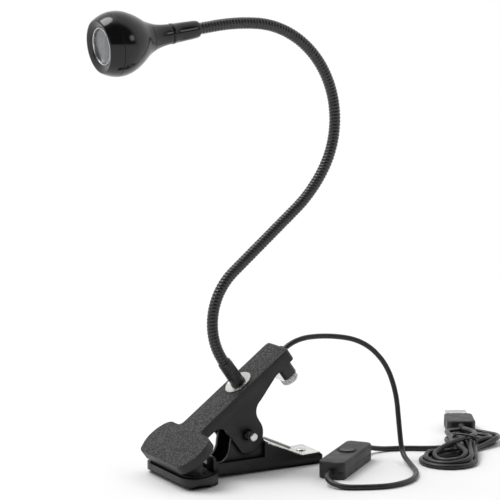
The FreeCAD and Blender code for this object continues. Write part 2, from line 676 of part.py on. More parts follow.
def head():
    """Ball-shaped lamp head: collar, cone, two half shells, bezel ring, lens and LED."""
    place = head_frame()
    ball, rim, wall = size("ball_radius"), size("bezel_radius"), size("shell_wall")
    face = math.sqrt(ball * ball - rim * rim)
    inner = ball - wall
    lens, split, neck_bore = size("lens_radius"), 3.0, size("neck_radius") + 0.05
    seat = face - 1.6

    def on_ball(radius, z):
        return math.sqrt(radius * radius - z * z)

    def arc(radius, z_from, z_to):
        mid = radius * math.sin((math.asin(z_from / radius) + math.asin(z_to / radius)) / 2)
        return (on_ball(radius, mid), mid, on_ball(radius, z_to), z_to)

    turned("head_front_shell", place,
           (on_ball(ball, split), split), arc(ball, split, face - 0.25), (rim - 0.15, face),
           (rim - 0.55, face), (lens + 1.2, seat), (lens + 1.2, seat - 4.4),
           (on_ball(inner, seat - 4.4), seat - 4.4), arc(inner, seat - 4.4, split))
    turned("head_rear_shell", place,
           (on_ball(ball, split - 0.08), split - 0.08), arc(ball, split - 0.08, -6.5),
           (12.6, -10.8, 10.0, -14.4), (8.6, -16.2, 7.7, -18.2), (5.4, -18.2), (6.0, -15.4),
           (8.9, -12.2), (on_ball(inner, -10.6), -10.6), arc(inner, -10.6, split - 0.08))
    turned("head_cone", place,
           (7.65, -18.3), (6.4, -21.6, 5.5, -25.8), (5.05, -30.2), (neck_bore, -30.2),
           (neck_bore, -24.0), (4.2, -22.0), (5.3, -18.3))
    end = -30.4 - size("collar_length")
    turned("head_collar", place,
           (5.15, -30.4), (5.2, -31.4), (4.95, -32.0), (4.45, end + 1.6), (4.2, end + 0.5, 3.4, end),
           (neck_bore, end), (neck_bore, -30.4))
    turned("lens_ring", place,
           (lens + 1.15, seat - 0.1), (lens + 0.75, seat + 0.35), (lens - 0.35, seat - 0.35),
           (lens - 0.35, seat - 1.0), (lens + 1.15, seat - 1.0))
    low = seat - 1.05 - size("lens_thickness")
    turned("lens", place,
           (0, low), (lens + 0.6, low), (lens + 0.6, seat - 1.05), (lens - 0.4, seat - 1.05),
           dome(lens - 0.4, seat - 1.05, seat - 0.45))
    cup = low - 0.05
    turned("reflector", place,
           (lens + 0.7, cup), (lens - 0.1, cup), (5.2, 1.6, 3.2, -1.2), (3.9, -1.2),
           (6.0, 1.4, lens + 0.7, cup - 0.9))
    turned("led_board", place, (0, -2.8), (8.6, -2.8), (8.6, -1.3), (0, -1.3))
    turned("led_emitter", place,
           (0, -1.3), (2.6, -1.3), (2.6, -0.6), (1.9, -0.6), dome(1.9, -0.6, 1.1))
    fins = [(0, -11.0)]
    for k in range(3):
        z = -11.0 + 2.6 * k
        fins += [(9.0, z), (9.0, z + 1.4), (5.0, z + 1.4), (5.0, z + 2.6)]
    fins += [(9.0, -3.2), (9.0, -2.85), (0, -2.85)]
    turned("heat_sink", place, *fins)
    screws = []
    for k in range(3):
        a = math.radians(30 + 120 * k)
        at = FreeCAD.Placement(V(6.6 * math.cos(a), 6.6 * math.sin(a), -1.25), FreeCAD.Rotation())
        screw = turned(f"screw_{k}", at, (0, 0), (1.3, 0), (1.3, 0.5), dome(1.3, 0.5, 0.95))
        nodes.pop(screw.Label)
        screws.append(screw)
    keep(fuse("board_screws", *screws), "board_screws", place)


# ---------------------------------------------------------------- cord, switch and plug

# the floor layout of the cord: a corner on the floor, from which "across" runs to the right
# of the clip's front view and "deep" runs away behind it
LAYOUT = V(32.45 + size("pivot_offset"), -40.0, 0)
ACROSS = V(0.863, -0.506, 0)
DEEP = V(0.506, 0.863, 0)


def floor_point(across, deep, height=None):
    """A point of the layout, on the floor under a lying cord unless a height is given."""
    point = LAYOUT + ACROSS * across + DEEP * deep
    point.z = size("cord_radius") if height is None else height
    return point


CORD_HEIGHT = 4.2   # of the cord's middle line where it enters the switch
CORD_INSIDE = 2.5   # how far it goes in
SWITCH_WAY = (ACROSS * 0.373 + DEEP * 0.928).normalize()
SWITCH_TURN = math.degrees(math.atan2(SWITCH_WAY.y, SWITCH_WAY.x))


def switch_frame():
    """Frame at the middle of the switch's underside, x along it."""
    return FreeCAD.Placement(LAYOUT + SWITCH_WAY * (size("switch_long") / 2),
                             FreeCAD.Rotation(V(0, 0, 1), SWITCH_TURN))


def switch_end(side):
    """The end of the cord that goes in at one end of the switch."""
    middle = switch_frame().Base + SWITCH_WAY * (side * (size("switch_long") / 2 - CORD_INSIDE))
    middle.z = CORD_HEIGHT
    return middle


def slab(name, long, wide, low, high, corner):
    """A slab with rounded corners between two heights, centred on the local Z."""
    x, y = long / 2, wide / 2
    k = corner * (1 - math.sqrt(0.5))
    sketch = doc.addObject("Sketcher::SketchObject", name + "_outline")
    draw(sketch, (-x + corner, -y), (x - corner, -y), (x - k, -y + k, x, -y + corner),
         (x, y - corner), (x - k, y - k, x - corner, y), (-x + corner, y),
         (-x + k, y - k, -x, y - corner), (-x, -y + corner), (-x + k, -y + k, -x + corner, -y))
    sketch.Placement = FreeCAD.Placement(V(0, 0, low), FreeCAD.Rotation())
    solid = doc.addObject("Part::Extrusion", name)
    solid.Base = sketch
    solid.DirMode = "Normal"
    solid.Solid = True
    solid.LengthFwd = high - low
    return solid


def switch():
    """In-line switch: two shells, the push button, the mechanism under it and two screws."""
    place = switch_frame()
    long, wide, high = size("switch_long"), size("switch_wide"), size("switch_high")
    wall, corner, split = 1.4, 3.4, 4.2
    cord = cylinder("switch_cord_way", "Sizes.cord_radius", "Sizes.switch_long",
                    FreeCAD.Placement(V(-long / 2, 0, CORD_HEIGHT), FreeCAD.Rotation(V(0, 1, 0), 90)))

    def sharp_long(level):
        def test(edge):
            b = edge.BoundBox
            on_level = b.ZLength < 0.01 and abs(b.ZMax - level) < 0.01
            return on_level and max(abs(b.XMin), abs(b.XMax), 3 * abs(b.YMin), 3 * abs(b.YMax)) > 20
        return test

    base = rounded("switch_base_round", slab("switch_base", long, wide, 0, split, corner), 0.8,
                   sharp_long(0.0))
    base_space = slab("switch_base_space", long - 2 * wall, wide - 2 * wall, wall, split + 1,
                      corner - wall)
    keep(cut("switch_bottom_shell", base, fuse("switch_base_cuts", base_space, cord)),
         "switch_bottom_shell", place)
    lid = rounded("switch_lid_round", slab("switch_lid", long, wide, split + 0.02, high, corner), 1.1,
                  sharp_long(high))
    lid_space = slab("switch_lid_space", long - 2 * wall, wide - 2 * wall, split - 1, high - wall,
                     corner - wall)
    button_at = 2.0
    hole = cylinder("button_hole", "Sizes.button_radius + 0.3", "10",
                    FreeCAD.Placement(V(button_at, 0, 3), FreeCAD.Rotation()))
    groove = turned("button_groove", FreeCAD.Placement(V(button_at, 0, high), FreeCAD.Rotation()),
                    (4.7, -0.5), (5.4, -0.5), (5.4, 1), (4.7, 1))
    nodes.pop(groove.Label)
    keep(cut("switch_top_shell", lid, fuse("switch_lid_cuts", lid_space, hole, groove, cord)),
         "switch_top_shell", place)
    r = size("button_radius")
    turned("switch_button", place.multiply(FreeCAD.Placement(V(button_at, 0, 0), FreeCAD.Rotation())),
           (0, 6.4), (r + 0.9, 6.4), (r + 0.9, 7.4), (r, 7.4), (r, high + 0.35),
           (r - 0.25, high + 0.6, r - 0.8, high + 0.65), dome(r - 0.8, high + 0.65, high + 0.35))
    keep(box("switch_mechanism", (button_at - 5.5, -4.2, wall), (button_at + 5.5, 4.2, 4.6)),
         "switch_mechanism", place.multiply(FreeCAD.Placement(V(button_at - 5.5, -4.2, wall),
                                                              FreeCAD.Rotation())))
    screws = []
    for side in (-1, 1):
        at = FreeCAD.Placement(V(side * 17.5, 4.0 * side, wall), FreeCAD.Rotation())
        screw = turned(f"shell_screw_{side + 1}", at, (0, 0), (1.4, 0), (1.4, 0.9), (0.7, 0.9),
                       (0.7, 2.6), (0, 2.6))
        nodes.pop(screw.Label)
        screws.append(screw)
    keep(fuse("switch_screws", *screws), "switch_screws", place)


def cord_tube(label, points):
    """One stretch of cord along a route."""
    radius = size("cord_radius")
    tube, length, radii = rod(points, radius)
    print(f"{label}: length {length:.1f}, radii", [round(r, 1) for r in radii],
          f"volume ratio {tube.Volume / (math.pi * radius ** 2 * length):.4f}")
    cord = doc.addObject("Part::Feature", label)
    cord.Shape = tube
    keep(cord, label)


def cord_exit():
    """Where the cord leaves the grommet, and its direction there."""
    way = ARM.Rotation.multVec(V(1, 0, 0))
    return ARM.multVec(V(size("arm_rear") + 1.6, 0, size("arm_top") - size("exit_depth"))), way


def drop_points():
    """The cord's arch from the arm to the floor, up to the middle of its first run there."""
    start, way = cord_exit()
    x0, z0 = size("pivot_offset"), size("pivot_height")
    on_floor, beyond = floor_point(43.5, 24.5), floor_point(45.5, 9.0)
    return [
        start, start + way * 8,
        V(x0 + 54.7, -2.0, z0 + 45.8), V(x0 + 73.2, -7.0, z0 + 42.0),
        V(x0 + 84.1, -13.0, z0 + 30.5), V(x0 + 88.1, -18.0, z0 + 14.5),
        V(x0 + 87.5, -22.0, z0 - 3.3), V(x0 + 85.6, -27.7, 3.8),
        on_floor, (on_floor + beyond) / 2,
    ]


def loop_points():
    """The loop on the floor, from the foot of the arch into the switch's near end."""
    into = switch_end(-1)
    return [
        drop_points()[-1], floor_point(45.5, 9.0), floor_point(42.0, -6.0),
        floor_point(30.5, -17.0), floor_point(16.5, -19.6), floor_point(3.5, -19.6),
        into - SWITCH_WAY * (11.9 + CORD_INSIDE), into,
    ]


def tail_points():
    """The stretch from the switch's far end to the hank."""
    into = switch_end(1)
    return [
        into, into + SWITCH_WAY * (11.0 + CORD_INSIDE), floor_point(30.0, 57.0),
        floor_point(42.0, 59.6), floor_point(56.0, 58.6), floor_point(63.5, 60.2),
        floor_point(71.2, 62.6),
    ]


def hank():
    """Outer shape of the figure-of-eight hank, with the twist tie round its waist."""
    outline = [(69.2, 54.4), (54.0, 46.5, 48.6, 32.0), (62.5, 18.2, 78.4, 33.0),
               (79.8, 42.0, 78.5, 50.7), (80.8, 56.6), (91.5, 68.5, 97.0, 84.0),
               (92.5, 94.5, 82.6, 91.3), (72.6, 91.3), (68.2, 96.8, 64.6, 86.0),
               (66.5, 72.0, 71.5, 60.3)]
    turn = math.degrees(math.atan2(ACROSS.y, ACROSS.x))
    place = FreeCAD.Placement(V(LAYOUT.x, LAYOUT.y, size("hank_high") / 2),
                              FreeCAD.Rotation(V(0, 0, 1), turn))
    keep(prism("cord_hank", "Z", "Sizes.hank_high", *outline), "cord_hank", place)
    at = FreeCAD.Placement(floor_point(75.0, 55.5, 0), FreeCAD.Rotation(V(0, 0, 1), SWITCH_TURN))
    high, inner = size("hank_high"), 6.3
    outer = box("tie_outside", (-2.3, -inner - 0.8, 0.4), (2.3, inner + 0.8, high + 0.8))
    inside = box("tie_inside", (-3.0, -inner, -1.0), (3.0, inner, high + 0.02))
    keep(cut("twist_tie", outer, inside), "twist_tie", at)


def plug():
    """USB plug lying flat behind the hank: strain relief, grip, shell, tongue and contacts."""
    turn = math.degrees(math.atan2(DEEP.y, DEEP.x))
    place = FreeCAD.Placement(floor_point(77.7, 95.3, 0), FreeCAD.Rotation(V(0, 0, 1), turn))
    long, wide, high = size("plug_long"), size("plug_wide"), size("plug_high")
    middle = high / 2
    cord = size("cord_radius")
    relief_at = place.multiply(FreeCAD.Placement(V(0, 0, middle), FreeCAD.Rotation(V(0, 1, 0), 90)))
    turned("plug_strain_relief", relief_at,
           (0, -4.0), (cord + 0.5, -4.0), (cord + 0.9, -0.6), (cord + 1.3, 0), (0, 0))
    body = slab("grip_body", long, wide, 0, high, 3.2)
    body.Placement = FreeCAD.Placement(V(long / 2, 0, 0), FreeCAD.Rotation())

    def long_edge(edge):
        b = edge.BoundBox
        return b.ZLength < 0.01 and (b.ZMax < 0.01 or b.ZMax > high - 0.01)

    soft = rounded("grip_round", body, 1.2, long_edge)
    grooves = []
    for k in range(5):
        x = long - 13.6 + 1.35 * k
        for side in (-1, 1):
            y = side * (wide / 2 - 0.1)
            grooves.append(box(f"grip_groove_{k}_{side + 1}", (x, y - 0.5, 1.3), (x + 0.6, y + 0.5, high - 1.3)))
    keep(cut("plug_overmould", soft, fuse("grip_grooves", *grooves)), "plug_overmould", place)
    half_wide, half_high, wall = size("usb_wide") / 2, size("usb_high") / 2, size("usb_wall")
    tip = long + size("usb_long")
    tube = box("usb_outside", (long, -half_wide, middle - half_high), (tip, half_wide, middle + half_high))
    space = box("usb_inside", (long - 1, -half_wide + wall, middle - half_high + wall),
                (tip + 1, half_wide - wall, middle + half_high - wall))
    windows = [box(f"usb_window_{side + 1}", (tip - 7.6, side * 3.4 - 1.15, -1), (tip - 5.2, side * 3.4 + 1.15, 9))
               for side in (-1, 1)]
    keep(cut("usb_shell", tube, fuse("usb_cuts", space, *windows)), "usb_shell", place)
    tongue_top = middle - 0.05
    gap = 0.05
    keep(fuse("usb_insulator",
              box("usb_tongue", (long, -half_wide + wall + gap, middle - half_high + wall + gap),
                  (tip - 1.0, half_wide - wall - gap, tongue_top)),
              box("usb_back", (long, -half_wide + wall + gap, middle - half_high + wall + gap),
                  (long + 2.6, half_wide - wall - gap, middle + half_high - wall - gap))),
         "usb_insulator", place)
    strips = [box(f"usb_strip_{k}", (long + 2.6, y - 0.55, tongue_top), (tip - front, y + 0.55, tongue_top + 0.15))
              for k, (y, front) in enumerate([(-3.5, 1.8), (-1.25, 2.8), (1.25, 2.8), (3.5, 1.8)])]
    keep(fuse("usb_contacts", *strips), "usb_contacts", place)


def build():
    lower_jaw()
    lower_pad()
    handle_plate()
    pivot_pin()
    torsion_spring()
    upper_jaw()
    upper_pad()
    neck_fixing()
    cord_anchor()
    gooseneck()
    head()
    switch()
    cord_tube("cord_drop", drop_points())
    cord_tube("cord_loop", loop_points())
    cord_tube("cord_tail", tail_points())
    hank()
    plug()


def write():
    """Check every object, then write each sub-part."""
    doc.recompute()
    for obj in doc.Objects:
        if "Invalid" in obj.State or "Error" in obj.State:
            raise RuntimeError(f"{obj.Name} failed: {obj.State}")
    os.makedirs("parts", exist_ok=True)
    for label, obj in nodes.items():
        shape = obj.Shape
        if shape.isNull() or not shape.isValid() or shape.Volume <= 0:
            raise RuntimeError(f"{label} has no valid solid")
        shape.exportStep(f"parts/{label}.step")
    print(len(nodes), "nodes")


build()
write()
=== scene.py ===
import json
import math

import bmesh
import bpy
import numpy
from mathutils import Matrix, Vector


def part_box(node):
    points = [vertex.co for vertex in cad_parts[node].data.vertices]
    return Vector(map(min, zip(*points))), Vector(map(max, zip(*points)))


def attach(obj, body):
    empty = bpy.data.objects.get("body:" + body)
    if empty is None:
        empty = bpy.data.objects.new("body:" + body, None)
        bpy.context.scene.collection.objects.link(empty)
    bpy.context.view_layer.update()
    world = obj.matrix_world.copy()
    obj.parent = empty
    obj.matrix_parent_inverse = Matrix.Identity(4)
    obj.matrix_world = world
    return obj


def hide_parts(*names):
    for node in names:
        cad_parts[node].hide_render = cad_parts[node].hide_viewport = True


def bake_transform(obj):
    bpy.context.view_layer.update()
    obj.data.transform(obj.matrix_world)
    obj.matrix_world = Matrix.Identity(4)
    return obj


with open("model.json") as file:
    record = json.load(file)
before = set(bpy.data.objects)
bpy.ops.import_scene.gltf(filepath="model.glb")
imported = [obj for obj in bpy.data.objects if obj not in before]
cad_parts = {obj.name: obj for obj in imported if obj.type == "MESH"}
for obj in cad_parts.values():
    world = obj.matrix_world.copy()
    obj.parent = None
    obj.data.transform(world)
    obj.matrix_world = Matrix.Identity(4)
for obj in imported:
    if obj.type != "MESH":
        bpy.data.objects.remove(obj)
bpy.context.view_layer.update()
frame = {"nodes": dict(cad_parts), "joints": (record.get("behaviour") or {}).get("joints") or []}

MM = 0.001
JOINTS = {joint["name"]: joint for joint in frame["joints"]}
PIVOT = Vector(JOINTS["clip_pivot"]["pos_m"])
ARM_TILT = math.radians(36)
ARM = Matrix.Translation(PIVOT) @ Matrix.Rotation(-ARM_TILT, 4, "Y")
scene = bpy.context.scene


# ---------------------------------------------------------------- camera, light and floor

def make_camera():
    """A long lens a metre away, to the left of the clip's front and a little above it."""
    azimuth, elevation, distance = math.radians(-30.38), math.radians(8.63), 1.0
    aim = Vector((PIVOT.x + 7.68 * MM, 0, PIVOT.z + 94.95 * MM))
    back = Vector((math.sin(azimuth) * math.cos(elevation),
                   -math.cos(azimuth) * math.cos(elevation), math.sin(elevation)))
    data = bpy.data.cameras.new("camera")
    data.sensor_width = 36
    data.lens = 139
    data.clip_start, data.clip_end = 0.05, 100
    camera = bpy.data.objects.new("camera", data)
    camera.location = aim + back * distance
    camera.rotation_mode = "QUATERNION"
    camera.rotation_quaternion = (-back).to_track_quat("-Z", "Y")
    scene.collection.objects.link(camera)
    scene.camera = camera


def soft_box(name, place, aim, width, height, power):
    """A large rectangular lamp pointing at a place on the object."""
    data = bpy.data.lights.new(name, "AREA")
    data.shape = "RECTANGLE"
    data.size, data.size_y = width, height
    data.energy = power
    lamp = bpy.data.objects.new(name, data)
    lamp.location = place
    lamp.rotation_mode = "QUATERNION"
    lamp.rotation_quaternion = (Vector(aim) - Vector(place)).to_track_quat("-Z", "Y")
    scene.collection.objects.link(lamp)


def light_studio():
    """A white sweep behind and above, a dark front, a broad key from above and two soft boxes."""
    world = bpy.data.worlds.new("studio")
    world.use_nodes = True
    tree = world.node_tree
    sky = tree.nodes["Background"]
    place = tree.nodes.new("ShaderNodeTexCoord")
    towards = tree.nodes.new("ShaderNodeVectorMath")
    towards.operation = "DOT_PRODUCT"
    towards.inputs[1].default_value = (-0.5, -0.85, 0.0)
    tree.links.new(place.outputs["Generated"], towards.inputs[0])
    fade = tree.nodes.new("ShaderNodeMapRange")
    fade.inputs["From Min"].default_value = 0.05
    fade.inputs["From Max"].default_value = 0.3
    fade.inputs["To Min"].default_value = 1.0
    fade.inputs["To Max"].default_value = 0.1
    tree.links.new(towards.outputs["Value"], fade.inputs["Value"])
    tree.links.new(fade.outputs["Result"], sky.inputs["Color"])
    sky.inputs["Strength"].default_value = 0.95
    scene.world = world
    scene.view_settings.view_transform = "Standard"
    key = bpy.data.lights.new("key", "SUN")
    key.energy = 1.75
    key.angle = math.radians(35)
    lamp = bpy.data.objects.new("key", key)
    lamp.rotation_mode = "QUATERNION"
    lamp.rotation_quaternion = Vector((0.35, -0.35, -1.0)).to_track_quat("-Z", "Y")
    scene.collection.objects.link(lamp)
    soft_box("box_right", (0.62, -0.95, 0.62), (-0.05, 0, 0.2), 0.34, 0.3, 0.85)
    soft_box("box_left", (-1.25, -0.55, 0.35), (0, 0, 0.1), 0.3, 0.8, 1.2)


def make_floor():
    """A pale matt floor that runs out of sight."""
    mesh = bpy.data.meshes.new("floor")
    far = 30.0
    mesh.from_pydata([(-far, -far, 0), (far, -far, 0), (far, far, 0), (-far, far, 0)], [], [(0, 1, 2, 3)])
    floor = bpy.data.objects.new("floor", mesh)
    scene.collection.objects.link(floor)
    shader = Shader("floor_pale", (0.9, 0.9, 0.905), 0.85, specular=0.2)
    shader.vary_roughness(scale=6, low=0.8, high=0.9)
    mesh.materials.append(shader.material)


# ---------------------------------------------------------------- materials

class Shader:
    """A principled material that grows its detail from noise in the object's own coordinates."""

    def __init__(self, name, colour, roughness, metallic=0.0, specular=0.5):
        self.material = bpy.data.materials.new(name)
        self.material.use_nodes = True
        self.tree = self.material.node_tree
        self.bsdf = self.tree.nodes["Principled BSDF"]
        self.colour = colour
        self.set("Base Color", (*colour, 1))
        self.set("Roughness", roughness)
        self.set("Metallic", metallic)
        self.set("Specular IOR Level", specular)
        self.place = self.tree.nodes.new("ShaderNodeTexCoord").outputs["Object"]
        self.normal = None

    def set(self, socket, value):
        """Give a socket of the principled shader a fixed value."""
        self.bsdf.inputs[socket].default_value = value
        return self

    def link(self, out, to):
        self.tree.links.new(out, to)

    def mapped(self, stretch, turn):
        """The object's coordinates, stretched along its axes and turned about Y."""
        node = self.tree.nodes.new("ShaderNodeMapping")
        node.inputs["Scale"].default_value = stretch
        node.inputs["Rotation"].default_value = (0, turn, 0)
        self.link(self.place, node.inputs["Vector"])
        return node.outputs["Vector"]

    def noise(self, scale, detail=3.0, roughness=0.55, where=None):
        """Noise of a scale in cells per metre, in the object's or other coordinates."""
        node = self.tree.nodes.new("ShaderNodeTexNoise")
        node.inputs["Scale"].default_value = scale
        node.inputs["Detail"].default_value = detail
        node.inputs["Roughness"].default_value = roughness
        self.link(where or self.place, node.inputs["Vector"])
        return node.outputs["Fac"]

    def cells(self, scale):
        """Distance from the middle of the nearest cell."""
        node = self.tree.nodes.new("ShaderNodeTexVoronoi")
        node.feature = "F1"
        node.inputs["Scale"].default_value = scale
        self.link(self.place, node.inputs["Vector"])
        return node.outputs["Distance"]

    def ramp(self, value, low, high, from_low=0.3, from_high=0.7):
        """A value between two positions of the input, mapped to a range."""
        node = self.tree.nodes.new("ShaderNodeMapRange")
        node.inputs["From Min"].default_value = from_low
        node.inputs["From Max"].default_value = from_high
        node.inputs["To Min"].default_value = low
        node.inputs["To Max"].default_value = high
        self.link(value, node.inputs["Value"])
        return node.outputs["Result"]

    def vary_colour(self, value, other, from_low=0.35, from_high=0.65):
        """Mix the base colour towards another where the value is high."""
        node = self.tree.nodes.new("ShaderNodeMix")
        node.data_type = "RGBA"
        node.inputs["A"].default_value = (*self.colour, 1)
        node.inputs["B"].default_value = (*other, 1)
        self.link(self.ramp(value, 0, 1, from_low, from_high), node.inputs["Factor"])
        self.link(node.outputs["Result"], self.bsdf.inputs["Base Color"])
        return self

    def rough_with(self, value, low, high):
        """Let the roughness follow a value."""
        self.link(self.ramp(value, low, high), self.bsdf.inputs["Roughness"])
        return self

    def vary_roughness(self, scale, low, high):
        """Let the roughness wander between two values."""
        return self.rough_with(self.noise(scale), low, high)

    def bump(self, value, height, strength=1.0):
        """Raise the surface by a height in metres where the value is high."""
        node = self.tree.nodes.new("ShaderNodeBump")
        node.inputs["Strength"].default_value = strength
        node.inputs["Distance"].default_value = height
        self.link(value, node.inputs["Height"])
        if self.normal is not None:
            self.link(self.normal, node.inputs["Normal"])
        self.normal = node.outputs["Normal"]
        self.link(self.normal, self.bsdf.inputs["Normal"])
        return self


def clip_plastic(name, grey, roughness):
    """The clip's smooth sides: moulded plastic with painted shade, its corners and creases darkened by
    ambient occlusion.
    """
    material = satin_plastic(name, grey, roughness)
    tree = material.node_tree
    # painted shade: ambient occlusion within 3 mm takes the specular level down to nothing in corners and
    # creases
    shade = tree.nodes.new("ShaderNodeAmbientOcclusion")
    shade.inputs["Distance"].default_value = 3.0 * MM
    shade.samples = 12
    # gloss maps the occlusion to the specular level; this is the painted corner shade
    gloss = tree.nodes.new("ShaderNodeMapRange")
    gloss.inputs["From Min"].default_value = 0.6
    gloss.inputs["From Max"].default_value = 0.98
    gloss.inputs["To Min"].default_value = 0.0
    gloss.inputs["To Max"].default_value = 0.42
    tree.links.new(shade.outputs["AO"], gloss.inputs["Value"])
    tree.links.new(gloss.outputs["Result"], tree.nodes["Principled BSDF"].inputs["Specular IOR Level"])
    return material


def satin_plastic(name, grey, roughness, grain=2600):
    """Moulded plastic: a fine even grain, faint flow marks and handling shine."""
    shader = Shader(name, (grey, grey, grey * 1.03), roughness, specular=0.5)
    shader.vary_colour(shader.noise(140, 4), (grey * 1.35, grey * 1.33, grey * 1.3))
    shader.vary_roughness(90, roughness - 0.06, roughness + 0.08)
    shader.bump(shader.noise(grain, 2), 0.02 * MM, 0.6)
    shader.bump(shader.noise(260, 2), 0.05 * MM, 0.35)
    return shader.material


def grained_plastic(name):
    """The etched top faces of the clip: blotchy pits a millimetre or so across."""
    shader = Shader(name, (0.005, 0.005, 0.0052), 0.6, specular=0.3)
    blotch = shader.noise(1150, 4, 0.6)
    shader.vary_colour(blotch, (0.075, 0.075, 0.076), 0.47, 0.6)
    shader.vary_roughness(500, 0.5, 0.72)
    shader.bump(blotch, 0.12 * MM, 0.9)
    shader.bump(shader.cells(2300), 0.05 * MM, 0.6)
    return shader.material


def piano_black(name):
    """Polished black shell with a clear coat, hairline polish marks and a little dust."""
    shader = Shader(name, (0.0025, 0.0025, 0.0028), 0.12, specular=0.28)
    shader.set("Coat Weight", 0.3).set("Coat Roughness", 0.16)
    marks = shader.noise(60, 5, 0.7, shader.mapped((1, 1, 14), 0.3))
    shader.rough_with(marks, 0.07, 0.16)
    shader.vary_colour(shader.noise(1600, 2), (0.012, 0.012, 0.0125), 0.7, 0.8)
    shader.bump(shader.noise(45, 2), 0.02 * MM, 0.12)
    return shader.material


def plated_steel(name, tone, roughness, stretch=(1, 1, 1)):
    """Bright nickel plate with drawing lines, rub marks and faint tarnish."""
    shader = Shader(name, tone, roughness, metallic=1.0)
    lines = shader.noise(420, 5, 0.7, shader.mapped(stretch, 0.0))
    shader.vary_colour(shader.noise(110, 4), tuple(c * 0.78 for c in tone))
    shader.rough_with(lines, roughness - 0.08, roughness + 0.14)
    shader.bump(lines, 0.02 * MM, 0.5)
    return shader.material


def coated_hose(name):
    """Semi-gloss black coat on the wound hose, rubbed brighter on the ridges."""
    shader = Shader(name, (0.006, 0.006, 0.0062), 0.3, specular=0.6)
    shader.vary_colour(shader.noise(700, 4), (0.018, 0.018, 0.0182), 0.45, 0.7)
    shader.vary_roughness(300, 0.22, 0.38)
    shader.bump(shader.noise(3000, 2), 0.015 * MM, 0.5)
    return shader.material


def flexible_pvc(name, grey, roughness):
    """Soft PVC jacket: a satin skin with slow ripples and fine matt specks."""
    shader = Shader(name, (grey, grey, grey * 1.02), roughness, specular=0.5)
    shader.vary_colour(shader.noise(800, 3), (grey * 1.6, grey * 1.6, grey * 1.6))
    shader.vary_roughness(220, roughness - 0.08, roughness + 0.1)
    shader.bump(shader.noise(1800, 3), 0.02 * MM, 0.7)
    shader.bump(shader.noise(160, 2), 0.08 * MM, 0.4)
    return shader.material


def matt_rubber(name, grey):
    """Dull rubber with a fine dusty skin."""
    shader = Shader(name, (grey, grey, grey), 0.75, specular=0.3)
    shader.vary_colour(shader.noise(500, 4), (grey * 1.8, grey * 1.8, grey * 1.7))
    shader.bump(shader.noise(2200, 3), 0.03 * MM, 0.8)
    return shader.material


def lens_glass(name):
    """Thick clear lens, greyed by the cup behind it."""
    shader = Shader(name, (0.62, 0.63, 0.65), 0.12, specular=0.35)
    shader.set("Transmission Weight", 0.85).set("IOR", 1.49)
    shader.vary_roughness(150, 0.08, 0.2)
    shader.bump(shader.noise(70, 1), 0.01 * MM, 0.15)
    return shader.material


def cup_metal(name):
    """Vacuum-metallised cup with a fine orange-peel skin."""
    shader = Shader(name, (0.05, 0.05, 0.053), 0.3, metallic=1.0)
    shader.bump(shader.noise(600, 2), 0.02 * MM, 0.3)
    shader.vary_roughness(300, 0.3, 0.4)
    return shader.material


def die_yellow(name):
    """The phosphor-coloured die under its clear dome."""
    shader = Shader(name, (0.75, 0.62, 0.2), 0.2, specular=0.6)
    shader.vary_colour(shader.noise(900, 2), (0.85, 0.78, 0.45))
    shader.set("Coat Weight", 1.0)
    return shader.material


def board_enamel(name):
    """White solder mask, slightly uneven."""
    shader = Shader(name, (0.78, 0.78, 0.75), 0.4, specular=0.5)
    shader.vary_colour(shader.noise(350, 3), (0.66, 0.66, 0.62))
    shader.bump(shader.noise(900, 2), 0.02 * MM, 0.5)
    return shader.material


make_camera()
LOOKS = {
    # the clip's look carries painted shade in its corners and creases, from ambient occlusion
    "clip": clip_plastic("clip_satin_painted_shade", 0.007, 0.4),
    "grain": grained_plastic("clip_grain"),
    "rubber": matt_rubber("jaw_rubber", 0.010),
    "plate": plated_steel("plate_bright", (0.78, 0.77, 0.75), 0.24, (1, 12, 1)),
    "fastener": plated_steel("fastener_nickel", (0.7, 0.69, 0.67), 0.22),
    # painted shade: the spring wire is toned darker than the other plated steel, for the shadow it lies
    # in
    "spring": plated_steel("spring_wire", (0.42, 0.41, 0.4), 0.3),
    "hose": coated_hose("hose_black"),
    "sleeve": flexible_pvc("sleeve_black", 0.008, 0.4),
    "gloss": piano_black("piano_black"),
    "bezel": plated_steel("bezel_metal", (0.72, 0.72, 0.73), 0.28),
    "lens": lens_glass("lens_clear"),
    "cup": cup_metal("cup_metal"),
    "board": board_enamel("board_enamel"),
    "die": die_yellow("die_yellow"),
    "sink": plated_steel("sink_aluminium", (0.6, 0.6, 0.62), 0.32),
    "block": satin_plastic("block_satin", 0.008, 0.42),
    "cord": flexible_pvc("cord_pvc", 0.010, 0.36),
    "switch": satin_plastic("switch_satin", 0.014, 0.5, 3400),
    "button": satin_plastic("button_satin", 0.010, 0.4),
    "plug": flexible_pvc("plug_pvc", 0.010, 0.45),
    "tie": satin_plastic("tie_plastic", 0.010, 0.35),
    "usb": plated_steel("usb_nickel", (0.66, 0.65, 0.63), 0.25, (1, 1, 6)),
    "tongue": satin_plastic("tongue_plastic", 0.012, 0.5),
    "contact": plated_steel("contact_gold", (0.85, 0.55, 0.3), 0.25),
}
light_studio()
make_floor()


# ---------------------------------------------------------------- mesh helpers

def new_piece(name, mesh, look, slot, body, *nodes):
    """An object for a finished mesh, with its look, riding on a body and standing for CAD nodes."""
    piece = bpy.data.objects.new(name, mesh)
    scene.collection.objects.link(piece)
    if not mesh.materials:
        mesh.materials.append(LOOKS[look])
    if nodes:
        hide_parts(*nodes)
    if body:
        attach(piece, body)
    return piece


def finish_mesh(mesh, sharp_angle):
    """Smooth shading with creases kept where faces meet steeply."""
    mesh.shade_smooth()
    mesh.set_sharp_from_angle(angle=math.radians(sharp_angle))
    mesh.update()


